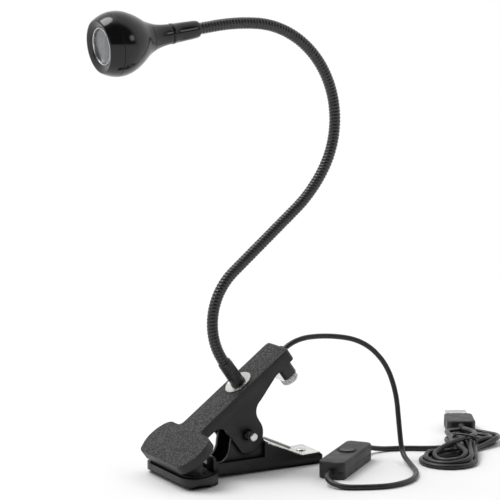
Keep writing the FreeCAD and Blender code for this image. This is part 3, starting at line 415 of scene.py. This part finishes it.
def rounded_profile(profile, radius, steps=4):
    """A profile whose corners are eased by small arcs; a corner on the axis stays."""
    eased = []
    points = [Vector(p) for p in profile]
    for i, corner in enumerate(points):
        before, after = points[i - 1], points[(i + 1) % len(points)]
        back, on = before - corner, after - corner
        open_angle = back.angle(on) if back.length > 0 and on.length > 0 else math.pi
        if corner.x < 1e-6 or open_angle > math.radians(150):
            eased.append(corner)
            continue
        reach = min(radius / math.tan(open_angle / 2), 0.45 * back.length, 0.45 * on.length)
        start, end = corner + back.normalized() * reach, corner + on.normalized() * reach
        for k in range(steps + 1):
            f = k / steps
            eased.append(start * (1 - f) ** 2 + corner * 2 * f * (1 - f) + end * f ** 2)
    return eased


def spun(name, profile, place, steps=96):
    """A closed mesh turned from (radius, height) points in millimetres about the place's Z."""
    mesh = bpy.data.meshes.new(name)
    vertices, faces, rings = [], [], []
    for radius, height in profile:
        on_axis = radius < 1e-6
        start = len(vertices)
        for k in range(1 if on_axis else steps):
            a = 2 * math.pi * k / steps
            local = Vector((radius * math.cos(a), radius * math.sin(a), height)) * MM
            vertices.append(place @ local)
        rings.append((start, on_axis))
    closed = rings + rings[:1]
    for (a, a_axis), (b, b_axis) in zip(closed, closed[1:]):
        if a_axis and b_axis:
            continue
        for k in range(steps):
            n = (k + 1) % steps
            if a_axis:
                faces.append((a, b + n, b + k))
            elif b_axis:
                faces.append((a + k, a + n, b))
            else:
                faces.append((a + k, a + n, b + n, b + k))
    mesh.from_pydata([tuple(v) for v in vertices], [], faces)
    work = bmesh.new()
    work.from_mesh(mesh)
    bmesh.ops.recalc_face_normals(work, faces=work.faces)
    work.to_mesh(mesh)
    work.free()
    finish_mesh(mesh, 50)
    return mesh


def arc(radius, start, end, steps, centre=(0.0, 0.0)):
    """Points of an arc in a profile, by angle in degrees from the axis's plane."""
    points = []
    for k in range(steps + 1):
        a = math.radians(start + (end - start) * k / steps)
        points.append((centre[0] + radius * math.cos(a), centre[1] + radius * math.sin(a)))
    return points


EASED_ANGLE = 32             # edges that turn by more than this are rounded
WELD = 0.001 * MM


def eased_copy(node, width, segments=3):
    """The CAD node's mesh with its steep edges rounded, as moulding and tumbling leave them."""
    mesh = frame["nodes"][node].data.copy()
    mesh.name = node + "_eased"
    mesh.materials.clear()
    work = bmesh.new()
    work.from_mesh(mesh)
    bmesh.ops.remove_doubles(work, verts=work.verts, dist=WELD)
    bmesh.ops.dissolve_limit(work, angle_limit=math.radians(1.0), verts=work.verts, edges=work.edges)
    work.to_mesh(mesh)
    work.free()
    holder = bpy.data.objects.new(node + "_holder", mesh)
    scene.collection.objects.link(holder)
    bevel = holder.modifiers.new("ease", "BEVEL")
    bevel.width = width * MM
    bevel.segments = segments
    bevel.limit_method = "ANGLE"
    bevel.angle_limit = math.radians(EASED_ANGLE)
    bevel.use_clamp_overlap = True
    graph = bpy.context.evaluated_depsgraph_get()
    eased = bpy.data.meshes.new_from_object(holder.evaluated_get(graph))
    bpy.data.objects.remove(holder)
    finish_mesh(eased, 38)
    return eased


def eased_piece(node, width, look, slot, body, segments=3):
    """A CAD node shown with rounded edges, under the node's name and _look."""
    mesh = eased_copy(node, width, segments)
    return new_piece(node + "_look", mesh, look, slot, body, node)


# ---------------------------------------------------------------- cord

POINT = Vector((PIVOT.x + 32.45 * MM, -40.0 * MM, 0))  # under the switch's near end
ACROSS = Vector((0.863, -0.506, 0))                    # to the right in the photo, along the floor
DEEP = Vector((0.506, 0.863, 0))                       # away from the camera
CORD_RADIUS = 1.4
SWITCH_LONG = 47.0
CORD_HEIGHT, CORD_INSIDE = 4.2, 2.5
LAY = (0.373, 0.928)         # the way the switch and the hank lie, across and deep
SWITCH_WAY = (ACROSS * LAY[0] + DEEP * LAY[1]).normalized()


def floor_point(across, deep, height=CORD_RADIUS):
    """A point of the cord's layout on the floor, in metres."""
    point = POINT + (ACROSS * across + DEEP * deep) * MM
    point.z = height * MM
    return point


def switch_end(side):
    """The end of the cord inside one end of the switch."""
    middle = POINT + SWITCH_WAY * (SWITCH_LONG / 2 * (1 + side) - side * CORD_INSIDE) * MM
    middle.z = CORD_HEIGHT * MM
    return middle


def from_pivot(x, y, z):
    """A point in metres, given in millimetres from the clip's pivot."""
    return PIVOT + Vector((x, y, z)) * MM


EXIT_WAY = (ARM.to_3x3() @ Vector((1, 0, 0))).normalized()
ARM_REAR, GROMMET_PROUD, EXIT_HEIGHT = 45.6, 1.6, 16.0
EXIT = ARM @ (Vector((ARM_REAR + GROMMET_PROUD, 0, EXIT_HEIGHT)) * MM)
NEAR_END, FAR_END = switch_end(-1), switch_end(1)
PIVOT_HEIGHT = 21.5
TAIL_END = (71.2, 62.6)

SUPPLY_ROUTE = [
    EXIT, EXIT + EXIT_WAY * 8 * MM,
    from_pivot(54.7, -2.0, 45.8), from_pivot(73.2, -7.0, 42.0),
    from_pivot(84.1, -13.0, 30.5), from_pivot(88.1, -18.0, 14.5),
    from_pivot(87.5, -22.0, -3.3), from_pivot(85.6, -27.7, 3.8 - PIVOT_HEIGHT),
    floor_point(43.5, 24.5), floor_point(45.5, 9.0), floor_point(42.0, -6.0),
    floor_point(30.5, -17.0), floor_point(16.5, -19.6), floor_point(3.5, -19.6),
    NEAR_END - SWITCH_WAY * (11.9 + CORD_INSIDE) * MM, NEAR_END,
]
TAIL_ROUTE = [
    FAR_END, FAR_END + SWITCH_WAY * (8.0 + CORD_INSIDE) * MM, floor_point(30.0, 57.0),
    floor_point(42.0, 59.6), floor_point(56.0, 58.6), floor_point(63.5, 60.2), floor_point(*TAIL_END),
]

# the hank, a figure of eight: strands cross in the tie, go round above it, back through, round below
WAIST = (75.0, 55.5)         # the tie's middle, across and deep
WAIST_TURN = math.radians(22)  # how far the strands lean from LAY
WAIST_REACH = 5.2            # half the straight run through the tie
LOOP_STEPS = 12
STRAND_GAP = 3.1
UPPER_LOOPS = [              # centre across, centre deep, half width, half depth, height at its sides
    (80.0, 75.2, 9.4, 9.1, 1.4), (80.3, 76.0, 11.2, 10.4, 3.6),
    (80.8, 77.0, 12.9, 11.6, 1.4), (82.4, 77.4, 13.2, 12.9, 4.0),
]
LOWER_LOOPS = [
    (64.0, 32.8, 13.9, 12.9, 1.4), (64.0, 33.4, 11.6, 10.8, 3.6),
    (64.4, 34.6, 10.0, 9.5, 1.4), (65.4, 36.2, 9.3, 9.1, 4.2),
]
DOWN_SLOTS = [(-4.5, 4.6), (-1.5, 4.6), (1.5, 4.6), (4.5, 4.6)]  # offset across the strand, height
UP_SLOTS = [(-3.0, 1.4), (0.0, 1.4), (3.0, 1.4), (0.0, 7.8)]


def waist_point(lean, slot, along):
    """A point (across, deep, height) of a strand that leans to one side as it goes through the tie."""
    offset, height = slot
    c, s = math.cos(WAIST_TURN), math.sin(WAIST_TURN)
    side = lean * (s * along + c * offset)
    ahead = c * along - s * offset
    return (WAIST[0] + LAY[1] * side + LAY[0] * ahead,
            WAIST[1] - LAY[0] * side + LAY[1] * ahead, height)


def touching_angle(loop, point, way):
    """Where a straight strand from a point touches a loop, in degrees round it."""
    x, y = (point[0] - loop[0]) / loop[2], (point[1] - loop[1]) / loop[3]
    return math.degrees(math.atan2(y, x)) + way * math.degrees(math.acos(1 / math.hypot(x, y)))


def lead_point(near, following, far):
    """A control point on the straight run into a loop, as far off as the loop's own points."""
    run = far - near
    lead = near + run * min(1.15 * (following - near).length / run.length, 0.5)
    lead.z = near.z + (far.z - near.z) * 0.4
    return lead


def loop_points(loop, before, after, way):
    """One turn of the hank from a point to another, with its leads, anticlockwise if way is 1."""
    across, deep, wide, tall, side_height = loop
    start = touching_angle(loop, before, way)
    sweep = (touching_angle(loop, after, -way) - start) * way % 360
    grow = 1 / math.cos(math.radians(sweep / LOOP_STEPS / 2))
    points = []
    for k in range(LOOP_STEPS):
        f = (k + 0.5) / LOOP_STEPS
        a = math.radians(start + way * sweep * f)
        low = min(1.0, min(f, 1 - f) / 0.38)
        height = side_height + (CORD_RADIUS - side_height) * low
        x, y = across + wide * grow * math.cos(a), deep + tall * grow * math.sin(a)
        points.append(floor_point(x, y, height))
    return ([lead_point(points[0], points[1], floor_point(*before))] + points
            + [lead_point(points[-1], points[-2], floor_point(*after))])


def hank_route(arrival):
    """Round above the tie, down through it, round below, up through it, and at last out to the plug."""
    route, last = [], arrival
    for upper, lower, down, up in zip(UPPER_LOOPS, LOWER_LOOPS, DOWN_SLOTS, UP_SLOTS):
        down_from, down_to = waist_point(-1, down, WAIST_REACH), waist_point(-1, down, -WAIST_REACH)
        up_from, up_to = waist_point(1, up, -WAIST_REACH), waist_point(1, up, WAIST_REACH)
        route += loop_points(upper, last, down_from, 1)
        route += [floor_point(*down_from), floor_point(*down_to)]
        route += loop_points(lower, down_to, up_from, -1)
        route += [floor_point(*up_from), floor_point(*up_to)]
        last = up_to
    return route + [
        floor_point(82.0, 66.5, 7.2), floor_point(81.4, 73.5, 6.8), floor_point(78.6, 80.0, 6.6),
        floor_point(77.6, 86.5, 5.4), floor_point(77.7, 92.5, 3.8),
    ]


PUSH, EVEN, RETURN, ROUNDS = 0.5, 0.12, 0.003, 500


def settled(route, held_start, held_end):
    """The hank's control points after its strands have pushed each other apart above the floor.

    Beads along the spline push by PUSH, EVEN shares a move with its neighbours, RETURN draws it back.
    """
    drawn = numpy.array([list(point) for point in route]) / MM
    points, count = drawn.copy(), len(route)
    free = numpy.ones((count, 1))
    free[:held_start] = 0
    free[count - held_end:] = 0
    weights = []
    for i in range(count - 2):
        for shares in ((0.5, 0.5, 0.0), (0.125, 0.75, 0.125)):
            row = numpy.zeros(count)
            row[i:i + 3] = shares
            weights.append(row)
    weights = numpy.array(weights)
    share = weights.sum(axis=0)[:, None]
    for _ in range(ROUNDS):
        beads = weights @ points
        steps = numpy.linalg.norm(numpy.diff(beads, axis=0), axis=1)
        run = numpy.concatenate([[0], numpy.cumsum(steps)])
        apart = beads[:, None, :] - beads[None, :, :]
        distance = numpy.linalg.norm(apart, axis=2) + 1e-6
        close = (distance < STRAND_GAP) & (abs(run[:, None] - run[None, :]) > 3 * STRAND_GAP)
        pressure = numpy.where(close, (STRAND_GAP - distance) / distance, 0)
        push = (pressure[:, :, None] * apart).sum(axis=1)
        points = points + (weights.T @ push) / share * PUSH * free
        moved = points - drawn
        evened = numpy.zeros_like(moved)
        evened[1:-1] = (moved[:-2] + moved[2:]) / 2 - moved[1:-1]
        points = points + (EVEN * evened - RETURN * moved) * free
        points[:, 2] = numpy.maximum(points[:, 2], CORD_RADIUS)
    return [Vector(point) * MM for point in points.tolist()]


def spline_object(name, route):
    """One open NURBS spline whose control points are a cord's route."""
    curve = bpy.data.curves.new(name, "CURVE")
    curve.dimensions = "3D"
    curve.resolution_u = 12
    spline = curve.splines.new("NURBS")
    spline.points.add(len(route) - 1)
    for point, at in zip(spline.points, route):
        point.co = (*at, 1)
    spline.order_u = 3
    spline.use_endpoint_u = True
    line = bpy.data.objects.new(name, curve)
    scene.collection.objects.link(line)
    return line


def line_points(line):
    """The points Blender gives along a spline that has no thickness."""
    graph = bpy.context.evaluated_depsgraph_get()
    graph.update()
    mesh = bpy.data.meshes.new_from_object(line.evaluated_get(graph))
    points = [v.co.copy() for v in mesh.vertices]
    bpy.data.meshes.remove(mesh)
    return points


def tube_mesh(name, path, radius, sides=20):
    """A closed tube round a path, carried along without twist."""
    mesh = bpy.data.meshes.new(name)
    vertices, faces = [], []
    tangent = (path[1] - path[0]).normalized()
    side = tangent.orthogonal().normalized()
    for i, at in enumerate(path):
        ahead = path[min(i + 1, len(path) - 1)] - path[max(i - 1, 0)]
        turn = tangent.rotation_difference(ahead.normalized())
        side = (turn @ side).normalized()
        tangent = ahead.normalized()
        other = tangent.cross(side)
        for k in range(sides):
            a = 2 * math.pi * k / sides
            vertices.append(at + (side * math.cos(a) + other * math.sin(a)) * radius)
    for i in range(len(path) - 1):
        for k in range(sides):
            n = (k + 1) % sides
            a, b = i * sides, (i + 1) * sides
            faces.append((a + k, a + n, b + n, b + k))
    faces.append(tuple(reversed(range(sides))))
    last = (len(path) - 1) * sides
    faces.append(tuple(last + k for k in range(sides)))
    mesh.from_pydata([tuple(v) for v in vertices], [], faces)
    finish_mesh(mesh, 60)
    return mesh


def make_supply_cord():
    """From the arm in an arch to the floor, round a loop and into the switch."""
    line = spline_object("supply_line", SUPPLY_ROUTE)
    path = line_points(line)
    bpy.data.objects.remove(line)
    mesh = tube_mesh("supply_cord", path, CORD_RADIUS * MM)
    cord = new_piece("supply_cord", mesh, "cord", "cord_black", None, "cord_drop", "cord_loop")
    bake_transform(cord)


def make_plug_cord(pieces):
    """From the switch along the floor, through the hank and out to the plug."""
    hank = hank_route((*TAIL_END, CORD_RADIUS))
    cord = spline_object("plug_cord", settled(TAIL_ROUTE + hank, len(TAIL_ROUTE), 2))
    path = line_points(cord)
    cord.data.bevel_depth = CORD_RADIUS * MM
    cord.data.bevel_resolution = 5
    cord.data.use_fill_caps = True
    cord.data.materials.append(LOOKS["cord"])
    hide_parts("cord_tail", "cord_hank")
    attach(cord, "lower_clip")


# ---------------------------------------------------------------- gooseneck

NECK_COURSE = [  # (length, 0) of a straight stretch, or (radius, turn in degrees) of an arc
    (15.2, 0), (34.1, -87.0), (48.2, 0), (72.6, 21.0), (51.3, 116.2), (119.6, 11.8), (55.9, 0),
]
NECK_FOOT = Vector((15.5, 0, 20.2))
NECK_JOINTS = [44.0, 92.0, 134.0, 172.0, 212.0, 252.0]
NECK_START, NECK_END = -5.0, 298.0  # the hose goes on a little inside the arm and the collar
BEND_REACH = 15.0            # a length each side of a joint, at which the neck's points are computed and not used
RIDGE_PITCH, GROOVE_RADIUS, RIDGE_RISE = 1.75, 2.58, 0.4


def stretch_length(amount, turn):
    """Length of one stretch of the course, in millimetres."""
    return amount if turn == 0 else amount * math.radians(abs(turn))


def neck_point(distance):
    """Place (x, z) in millimetres from the pivot and heading in degrees along the neck."""
    foot = Matrix.Rotation(-ARM_TILT, 3, "Y") @ NECK_FOOT
    x, z, heading, left = foot.x, foot.z, 90 + math.degrees(ARM_TILT), distance
    for index, (amount, turn) in enumerate(NECK_COURSE):
        long = stretch_length(amount, turn)
        step = left if left < long or index == len(NECK_COURSE) - 1 else long
        bent = 0.0 if turn == 0 else math.copysign(math.degrees(step / amount), turn)
        chord = step if turn == 0 else 2 * amount * math.sin(math.radians(abs(bent)) / 2)
        way = math.radians(heading + bent / 2)
        x, z = x + chord * math.cos(way), z + chord * math.sin(way)
        heading += bent
        left -= step
        if left <= 0:
            break
    return x, z, heading


def neck_place(distance):
    """A point of the neck's middle line, in metres."""
    x, z, _ = neck_point(distance)
    return from_pivot(x, 0, z)


def ridge_radius(distance, angle):
    """Radius of the wound hose: round ridges along a helix with tight grooves between."""
    phase = distance / RIDGE_PITCH + angle / (2 * math.pi)
    swell = abs(math.sin(math.pi * phase)) ** 0.55
    return GROOVE_RADIUS + RIDGE_RISE * swell


def hose_mesh(name, start, end):
    """A length of hose between two distances along the neck."""
    around, per_pitch = 28, 10
    count = max(2, round((end - start) / RIDGE_PITCH * per_pitch))
    vertices, faces = [], []
    for i in range(count + 1):
        distance = start + (end - start) * i / count
        x, z, heading = neck_point(distance)
        h = math.radians(heading)
        normal = Vector((-math.sin(h), 0, math.cos(h)))
        for k in range(around):
            a = 2 * math.pi * k / around
            reach = ridge_radius(distance, a)
            side = normal * math.cos(a) + Vector((0, 1, 0)) * math.sin(a)
            vertices.append(tuple(from_pivot(x, 0, z) + side * reach * MM))
    for i in range(count):
        for k in range(around):
            n = (k + 1) % around
            a, b = i * around, (i + 1) * around
            faces.append((a + k, b + k, b + n, a + n))
    faces.append(tuple(range(around)))
    faces.append(tuple(reversed(range(count * around, (count + 1) * around))))
    mesh = bpy.data.meshes.new(name)
    mesh.from_pydata(vertices, [], faces)
    work = bmesh.new()
    work.from_mesh(mesh)
    bmesh.ops.recalc_face_normals(work, faces=work.faces)
    work.to_mesh(mesh)
    work.free()
    finish_mesh(mesh, 70)
    return mesh


def make_gooseneck():
    """Six lengths that meet between the joints, each spanning one of them."""
    between = [(a + b) / 2 for a, b in zip(NECK_JOINTS, NECK_JOINTS[1:])]
    cuts = [NECK_START] + between + [NECK_END]
    stands_for = [["neck_foot"], ["neck_section_1"], ["neck_section_2"], ["neck_section_3"],
                  ["neck_section_4"], ["neck_section_5", "neck_tip"]]
    for k, at in enumerate(NECK_JOINTS):
        mesh = hose_mesh(f"hose_{k + 1}", cuts[k], cuts[k + 1])
        hose = new_piece(f"hose_{k + 1}", mesh, "hose", "neck_black", None, *stands_for[k])
        neck_place(at - BEND_REACH)
        neck_place(at + BEND_REACH)
        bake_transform(hose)


make_gooseneck()


# ---------------------------------------------------------------- head

def head_place():
    """The head's frame: its middle on the neck's line, its Z towards the lens."""
    x, z, heading = neck_point(sum(stretch_length(*s) for s in NECK_COURSE))
    return (Matrix.Translation(from_pivot(x, 0, z))
            @ Matrix.Rotation(math.radians(90 - heading), 4, "Y"))


HEAD = head_place()
BALL, RIM, LENS = 16.2, 13.1, 8.9  # radii of the ball, of its cut front and of the lens opening
FACE = math.sqrt(BALL ** 2 - RIM ** 2)
SEAT = FACE - 1.6
NECK_BORE = 2.85


def ball_angle(height, radius=BALL):
    """Angle in degrees at which a ball's profile has a height."""
    return math.degrees(math.asin(height / radius))


def make_head():
    """Polished ball in two shells, with the bezel's chamfer, the cone and the collar."""
    inner, split = BALL - 1.8, 3.0
    front = arc(BALL, ball_angle(split + 0.06), ball_angle(FACE - 0.3), 28)
    front += [(RIM - 0.25, FACE), (RIM - 0.7, FACE - 0.02), (LENS + 0.42, SEAT + 0.1),
              (LENS + 0.42, SEAT - 0.3), (LENS + 1.2, SEAT - 0.3), (LENS + 1.2, SEAT - 4.4)]
    front += arc(inner, ball_angle(SEAT - 4.4, inner), ball_angle(split, inner), 6)
    mesh = spun("front_shell", rounded_profile(front, 0.25), HEAD, 160)
    new_piece("front_shell", mesh, "gloss", "head_gloss", "head", "head_front_shell")

    rear = arc(BALL, ball_angle(split - 0.1), ball_angle(-6.5), 34)
    flare = [(14.05, -8.3), (13.0, -10.2), (11.9, -11.9), (10.9, -13.3), (10.0, -14.5), (9.2, -15.7),
             (8.45, -17.0), (7.85, -18.16)]
    rear += flare + [(5.4, -18.16), (6.0, -15.4), (8.9, -12.2)]
    rear += arc(inner, ball_angle(-10.6, inner), ball_angle(split - 0.1, inner), 16)
    mesh = spun("rear_shell", rounded_profile(rear, 0.2), HEAD, 160)
    new_piece("rear_shell", mesh, "gloss", "head_gloss", "head", "head_rear_shell")

    cone = [(7.8, -18.26), (7.15, -19.6), (6.55, -21.2), (6.0, -23.1), (5.55, -25.3), (5.25, -27.6),
            (5.06, -30.2), (NECK_BORE, -30.2), (NECK_BORE, -24.0), (4.2, -22.0), (5.3, -18.3)]
    mesh = spun("rear_cone", rounded_profile(cone, 0.2), HEAD, 96)
    new_piece("rear_cone", mesh, "gloss", "head_gloss", "head", "head_cone")

    end = -46.4
    collar = [(5.12, -30.42), (5.25, -30.9), (5.22, -31.6), (5.02, -32.1), (4.85, -36.0), (4.6, -42.0),
              (4.45, end + 1.6), (4.15, end + 0.45), (3.5, end), (NECK_BORE + 0.1, end),
              (NECK_BORE + 0.1, -30.42)]
    mesh = spun("rear_collar", rounded_profile(collar, 0.35), HEAD, 96)
    new_piece("rear_collar", mesh, "gloss", "head_gloss", "head", "head_collar")


def make_optics():
    """Bezel ring, domed lens and the bright cup behind it."""
    ring = [(LENS + 1.1, SEAT - 0.32), (LENS + 0.4, SEAT - 0.32), (LENS + 0.36, SEAT + 0.16),
            (LENS + 0.1, SEAT + 0.24), (LENS - 0.12, SEAT + 0.02), (LENS - 0.16, SEAT - 1.0),
            (LENS + 1.1, SEAT - 1.0)]
    mesh = spun("bezel_ring", rounded_profile(ring, 0.12), HEAD, 128)
    new_piece("bezel_ring", mesh, "bezel", "bezel_metal", "head", "lens_ring")
    shoulder, thick, edge = SEAT - 1.05, 1.4, LENS - 0.4
    low, crown = shoulder - thick, SEAT - 0.45
    rise = crown - shoulder
    dome_radius = (edge ** 2 + rise ** 2) / (2 * rise)
    half = math.degrees(math.asin(edge / dome_radius))
    dome = arc(dome_radius, 90 - half, 90, 12, (0, crown - dome_radius))
    lens = [(0, low), (LENS + 0.6, low), (LENS + 0.6, shoulder)] + dome[:-1] + [(0, crown)]
    mesh = spun("front_lens", lens, HEAD, 96)
    new_piece("front_lens", mesh, "lens", "lens_glass", "head", "lens")
    cup_top, cup_foot, steps = low - 0.05, -1.2, 8
    wall = []
    for k in range(steps + 1):
        a = k * math.pi / 2 / steps
        wall.append((LENS - 0.1 - (LENS - 3.3) * math.sin(a),
                     cup_top - (cup_top - cup_foot) * (1 - math.cos(a))))
    cup = [(LENS + 0.7, cup_top)] + wall + [(3.9, cup_foot), (6.0, 1.2), (LENS + 0.7, cup_top - 0.9)]
    mesh = spun("light_cup", cup, HEAD, 96)
    new_piece("light_cup", mesh, "cup", "reflector_metal", "head", "reflector")


make_head()
make_optics()

# CAD nodes that stay in sight as they are, each with its look
PLAIN = {
    "led_board": "board", "led_emitter": "die", "heat_sink": "sink", "board_screws": "fastener",
    "switch_mechanism": "block", "switch_screws": "fastener", "pin_rings": "fastener",
    "usb_insulator": "tongue", "usb_contacts": "contact", "clamp_strap": "plate",
}
for node, look in PLAIN.items():
    node_mesh = frame["nodes"][node].data
    node_mesh.materials.clear()
    node_mesh.materials.append(LOOKS[look])


# ---------------------------------------------------------------- clip

TOP_ALIKE, TOP_AREA = 0.985, 8 * MM * MM


def grain_top(mesh, way):
    """Give the broad faces that look one way the etched grain as a second look."""
    mesh.materials.append(LOOKS["grain"])
    index = len(mesh.materials) - 1
    for face in mesh.polygons:
        if face.normal.dot(way) > TOP_ALIKE and face.area > TOP_AREA:
            face.material_index = index


def make_clip():
    """Both jaws with their liners, the steel plate and the small parts that look like their CAD."""
    upper = eased_copy("upper_jaw", 0.55)
    upper.materials.append(LOOKS["clip"])
    top_way = (ARM.to_3x3() @ Vector((0, 0, 1))).normalized()
    grain_top(upper, top_way)
    new_piece("upper_jaw_look", upper, "clip", "clip_plastic", "upper_clip", "upper_jaw")
    eased_piece("lower_jaw", 0.5, "clip", "clip_plastic", "lower_clip")
    eased_piece("upper_jaw_pad", 0.25, "rubber", "jaw_rubber", "upper_clip")
    eased_piece("lower_jaw_pad", 0.25, "rubber", "jaw_rubber", "lower_clip")
    eased_piece("handle_plate", 0.25, "plate", "plate_steel", "lower_clip")
    eased_piece("plate_rivet", 0.15, "fastener", "fastener_steel", "lower_clip")
    eased_piece("cord_block", 0.5, "block", "block_black", "upper_clip")
    eased_piece("neck_lock_nut", 0.3, "fastener", "fastener_steel", "upper_clip")
    eased_piece("cord_grommet", 0.2, "rubber", "jaw_rubber", "upper_clip")


def make_pin():
    """The pivot pin with its ends eased."""
    half, r = 17.7, 2.1
    place = Matrix.Translation(PIVOT) @ Matrix.Rotation(math.radians(-90), 4, "X")
    pin = [(0, -half), (r - 0.4, -half), (r, -half + 0.4), (r, half - 0.4), (r - 0.4, half), (0, half)]
    mesh = spun("hinge_pin", rounded_profile(pin, 0.12), place, 64)
    new_piece("hinge_pin", mesh, "fastener", "fastener_steel", "lower_clip", "pivot_pin")


def make_neck_fixing():
    """Dished washer and ringed sleeve at the gooseneck's foot."""
    foot = ARM @ Matrix.Translation(NECK_FOOT * MM)
    wide, thick = 7.65, 1.0
    washer = [(NECK_BORE, 0), (wide, 0), (wide, 0.6), (wide - 0.5, thick), (wide - 1.3, thick),
              (wide - 1.7, 0.75), (NECK_BORE, 0.75)]
    mesh = spun("foot_washer", rounded_profile(washer, 0.18), foot, 96)
    new_piece("foot_washer", mesh, "fastener", "fastener_steel", "upper_clip", "neck_washer")
    length, rings = 14.2, 9
    sleeve = [(NECK_BORE, 0.0), (4.0, 0.0), (3.98, 0.5)]
    for k in range(rings):
        z = 1.1 + 1.35 * k
        r = 3.82 - 0.02 * k
        sleeve += [(r - 0.12, z - 0.25), (r, z + 0.05), (r, z + 0.55), (r - 0.12, z + 0.85)]
    sleeve += [(3.55, length - 0.5), (3.3, length - 0.08), (3.0, length), (NECK_BORE, length)]
    place = foot @ Matrix.Translation(Vector((0, 0, 0.8 * MM)))
    mesh = spun("foot_sleeve", rounded_profile(sleeve, 0.12, 3), place, 72)
    new_piece("foot_sleeve", mesh, "sleeve", "sleeve_black", "upper_clip", "neck_sleeve")


def make_thumb_nut():
    """Turned nut whose rim carries fine teeth, in three bands."""
    radius, height, teeth = 4.7, 4.3, 40
    toothed, tooth_depth = 4.4, 0.16
    lowest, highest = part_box("thumb_nut")
    centre = (Vector(lowest) + Vector(highest)) / 2
    place = Matrix.Translation(centre) @ ARM.to_3x3().to_4x4()
    half = height / 2
    rows = [(3.5, -half), (4.3, 0.3 - half), (radius, 0.7 - half), (radius, -0.55), (4.35, -0.4),
            (radius, -0.25), (radius, 0.65), (4.35, 0.8), (radius, 0.95), (radius, half - 0.5),
            (4.2, half - 0.25), (3.8, half)]
    steps = teeth * 4
    vertices, faces = [], []
    for r, z in rows:
        for k in range(steps):
            a = 2 * math.pi * k / steps
            tooth = tooth_depth * (math.cos(a * teeth) - 1) if r > toothed else 0.0
            local = Vector(((r + tooth) * math.cos(a), (r + tooth) * math.sin(a), z)) * MM
            vertices.append(tuple(place @ local))
    bands = len(rows)
    for i in range(bands - 1):
        for k in range(steps):
            n = (k + 1) % steps
            faces.append((i * steps + k, i * steps + n, (i + 1) * steps + n, (i + 1) * steps + k))
    faces.append(tuple(reversed(range(steps))))
    faces.append(tuple(range((bands - 1) * steps, bands * steps)))
    mesh = bpy.data.meshes.new("clamp_nut")
    mesh.from_pydata(vertices, [], faces)
    finish_mesh(mesh, 45)
    new_piece("clamp_nut", mesh, "fastener", "fastener_steel", "upper_clip", "thumb_nut")


def make_spring():
    """Five turns round the pin, one leg on the steel plate and one under the arm."""
    wire, coil, half = 0.78, 4.6, 4.35
    turns, per_turn = 5, 28
    low_end, bend = Vector((29.5, -half, -12.1)), Vector((13.6, -half, -4.75))
    arm_end = ARM.to_3x3() @ Vector((27.0, 0, 16.95))
    high_end = Vector((arm_end.x, half, arm_end.z))
    points = [low_end, low_end.lerp(bend, 0.6), bend, Vector((8.0, -half, -4.75))]
    start, end = -90.0, 180.0 + 360.0 * turns - 40
    total = turns * per_turn
    for k in range(total + 1):
        f = k / total
        a = math.radians(start - (end - start) * f)
        points.append(Vector((coil * math.cos(a), -half + 2 * half * f, coil * math.sin(a))))
    points += [points[-1].lerp(high_end, 0.5) + Vector((0, 0.3, 0)), high_end]
    path = [from_pivot(*p) for p in points]
    mesh = tube_mesh("coil_spring", path, wire * MM, 14)
    spring = new_piece("coil_spring", mesh, "spring", "spring_steel", None, "torsion_spring")
    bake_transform(spring)


make_clip()
make_pin()
make_neck_fixing()
make_thumb_nut()
make_spring()


# ---------------------------------------------------------------- switch, plug and tie

def make_switch():
    """The two shells and the button."""
    eased_piece("switch_bottom_shell", 0.2, "switch", "switch_plastic", "lower_clip", 2)
    eased_piece("switch_top_shell", 0.2, "switch", "switch_plastic", "lower_clip", 2)
    eased_piece("switch_button", 0.2, "button", "switch_plastic", "button", 2)


def make_plug():
    """The plug's grip, strain relief and metal shell, which move with the cord's end."""
    return [eased_piece("plug_overmould", 0.15, "plug", "plug_black", "lower_clip", 2),
            eased_piece("plug_strain_relief", 0.15, "plug", "cord_black", "lower_clip", 2),
            eased_piece("usb_shell", 0.12, "usb", "usb_metal", "lower_clip", 2)]


def make_tie():
    """A plastic-covered wire bent round the waist, open underneath."""
    turn = math.atan2(SWITCH_WAY.y, SWITCH_WAY.x)
    place = Matrix.Translation(floor_point(*WAIST, 0)) @ Matrix.Rotation(turn, 4, "Z")
    wide, high, wire, wander = 6.9, 9.9, 0.62, 0.9
    start, sweep, steps, squareness, lowest = -60, 300, 40, 0.6, 0.75
    band = []
    for k in range(steps + 1):
        a = math.radians(start + sweep * k / steps)
        c, s = math.cos(a), math.sin(a)
        x = wander * math.sin(2 * a)
        y = wide * math.copysign(abs(c) ** squareness, c)
        z = high / 2 + high / 2 * math.copysign(abs(s) ** squareness, s)
        band.append(place @ (Vector((x, y, max(z, lowest))) * MM))
    mesh = tube_mesh("wire_tie", band, wire * MM, 12)
    return new_piece("wire_tie", mesh, "tie", "tie_black", "lower_clip", "twist_tie")


make_switch()
make_supply_cord()
make_plug_cord(make_plug() + [make_tie()])
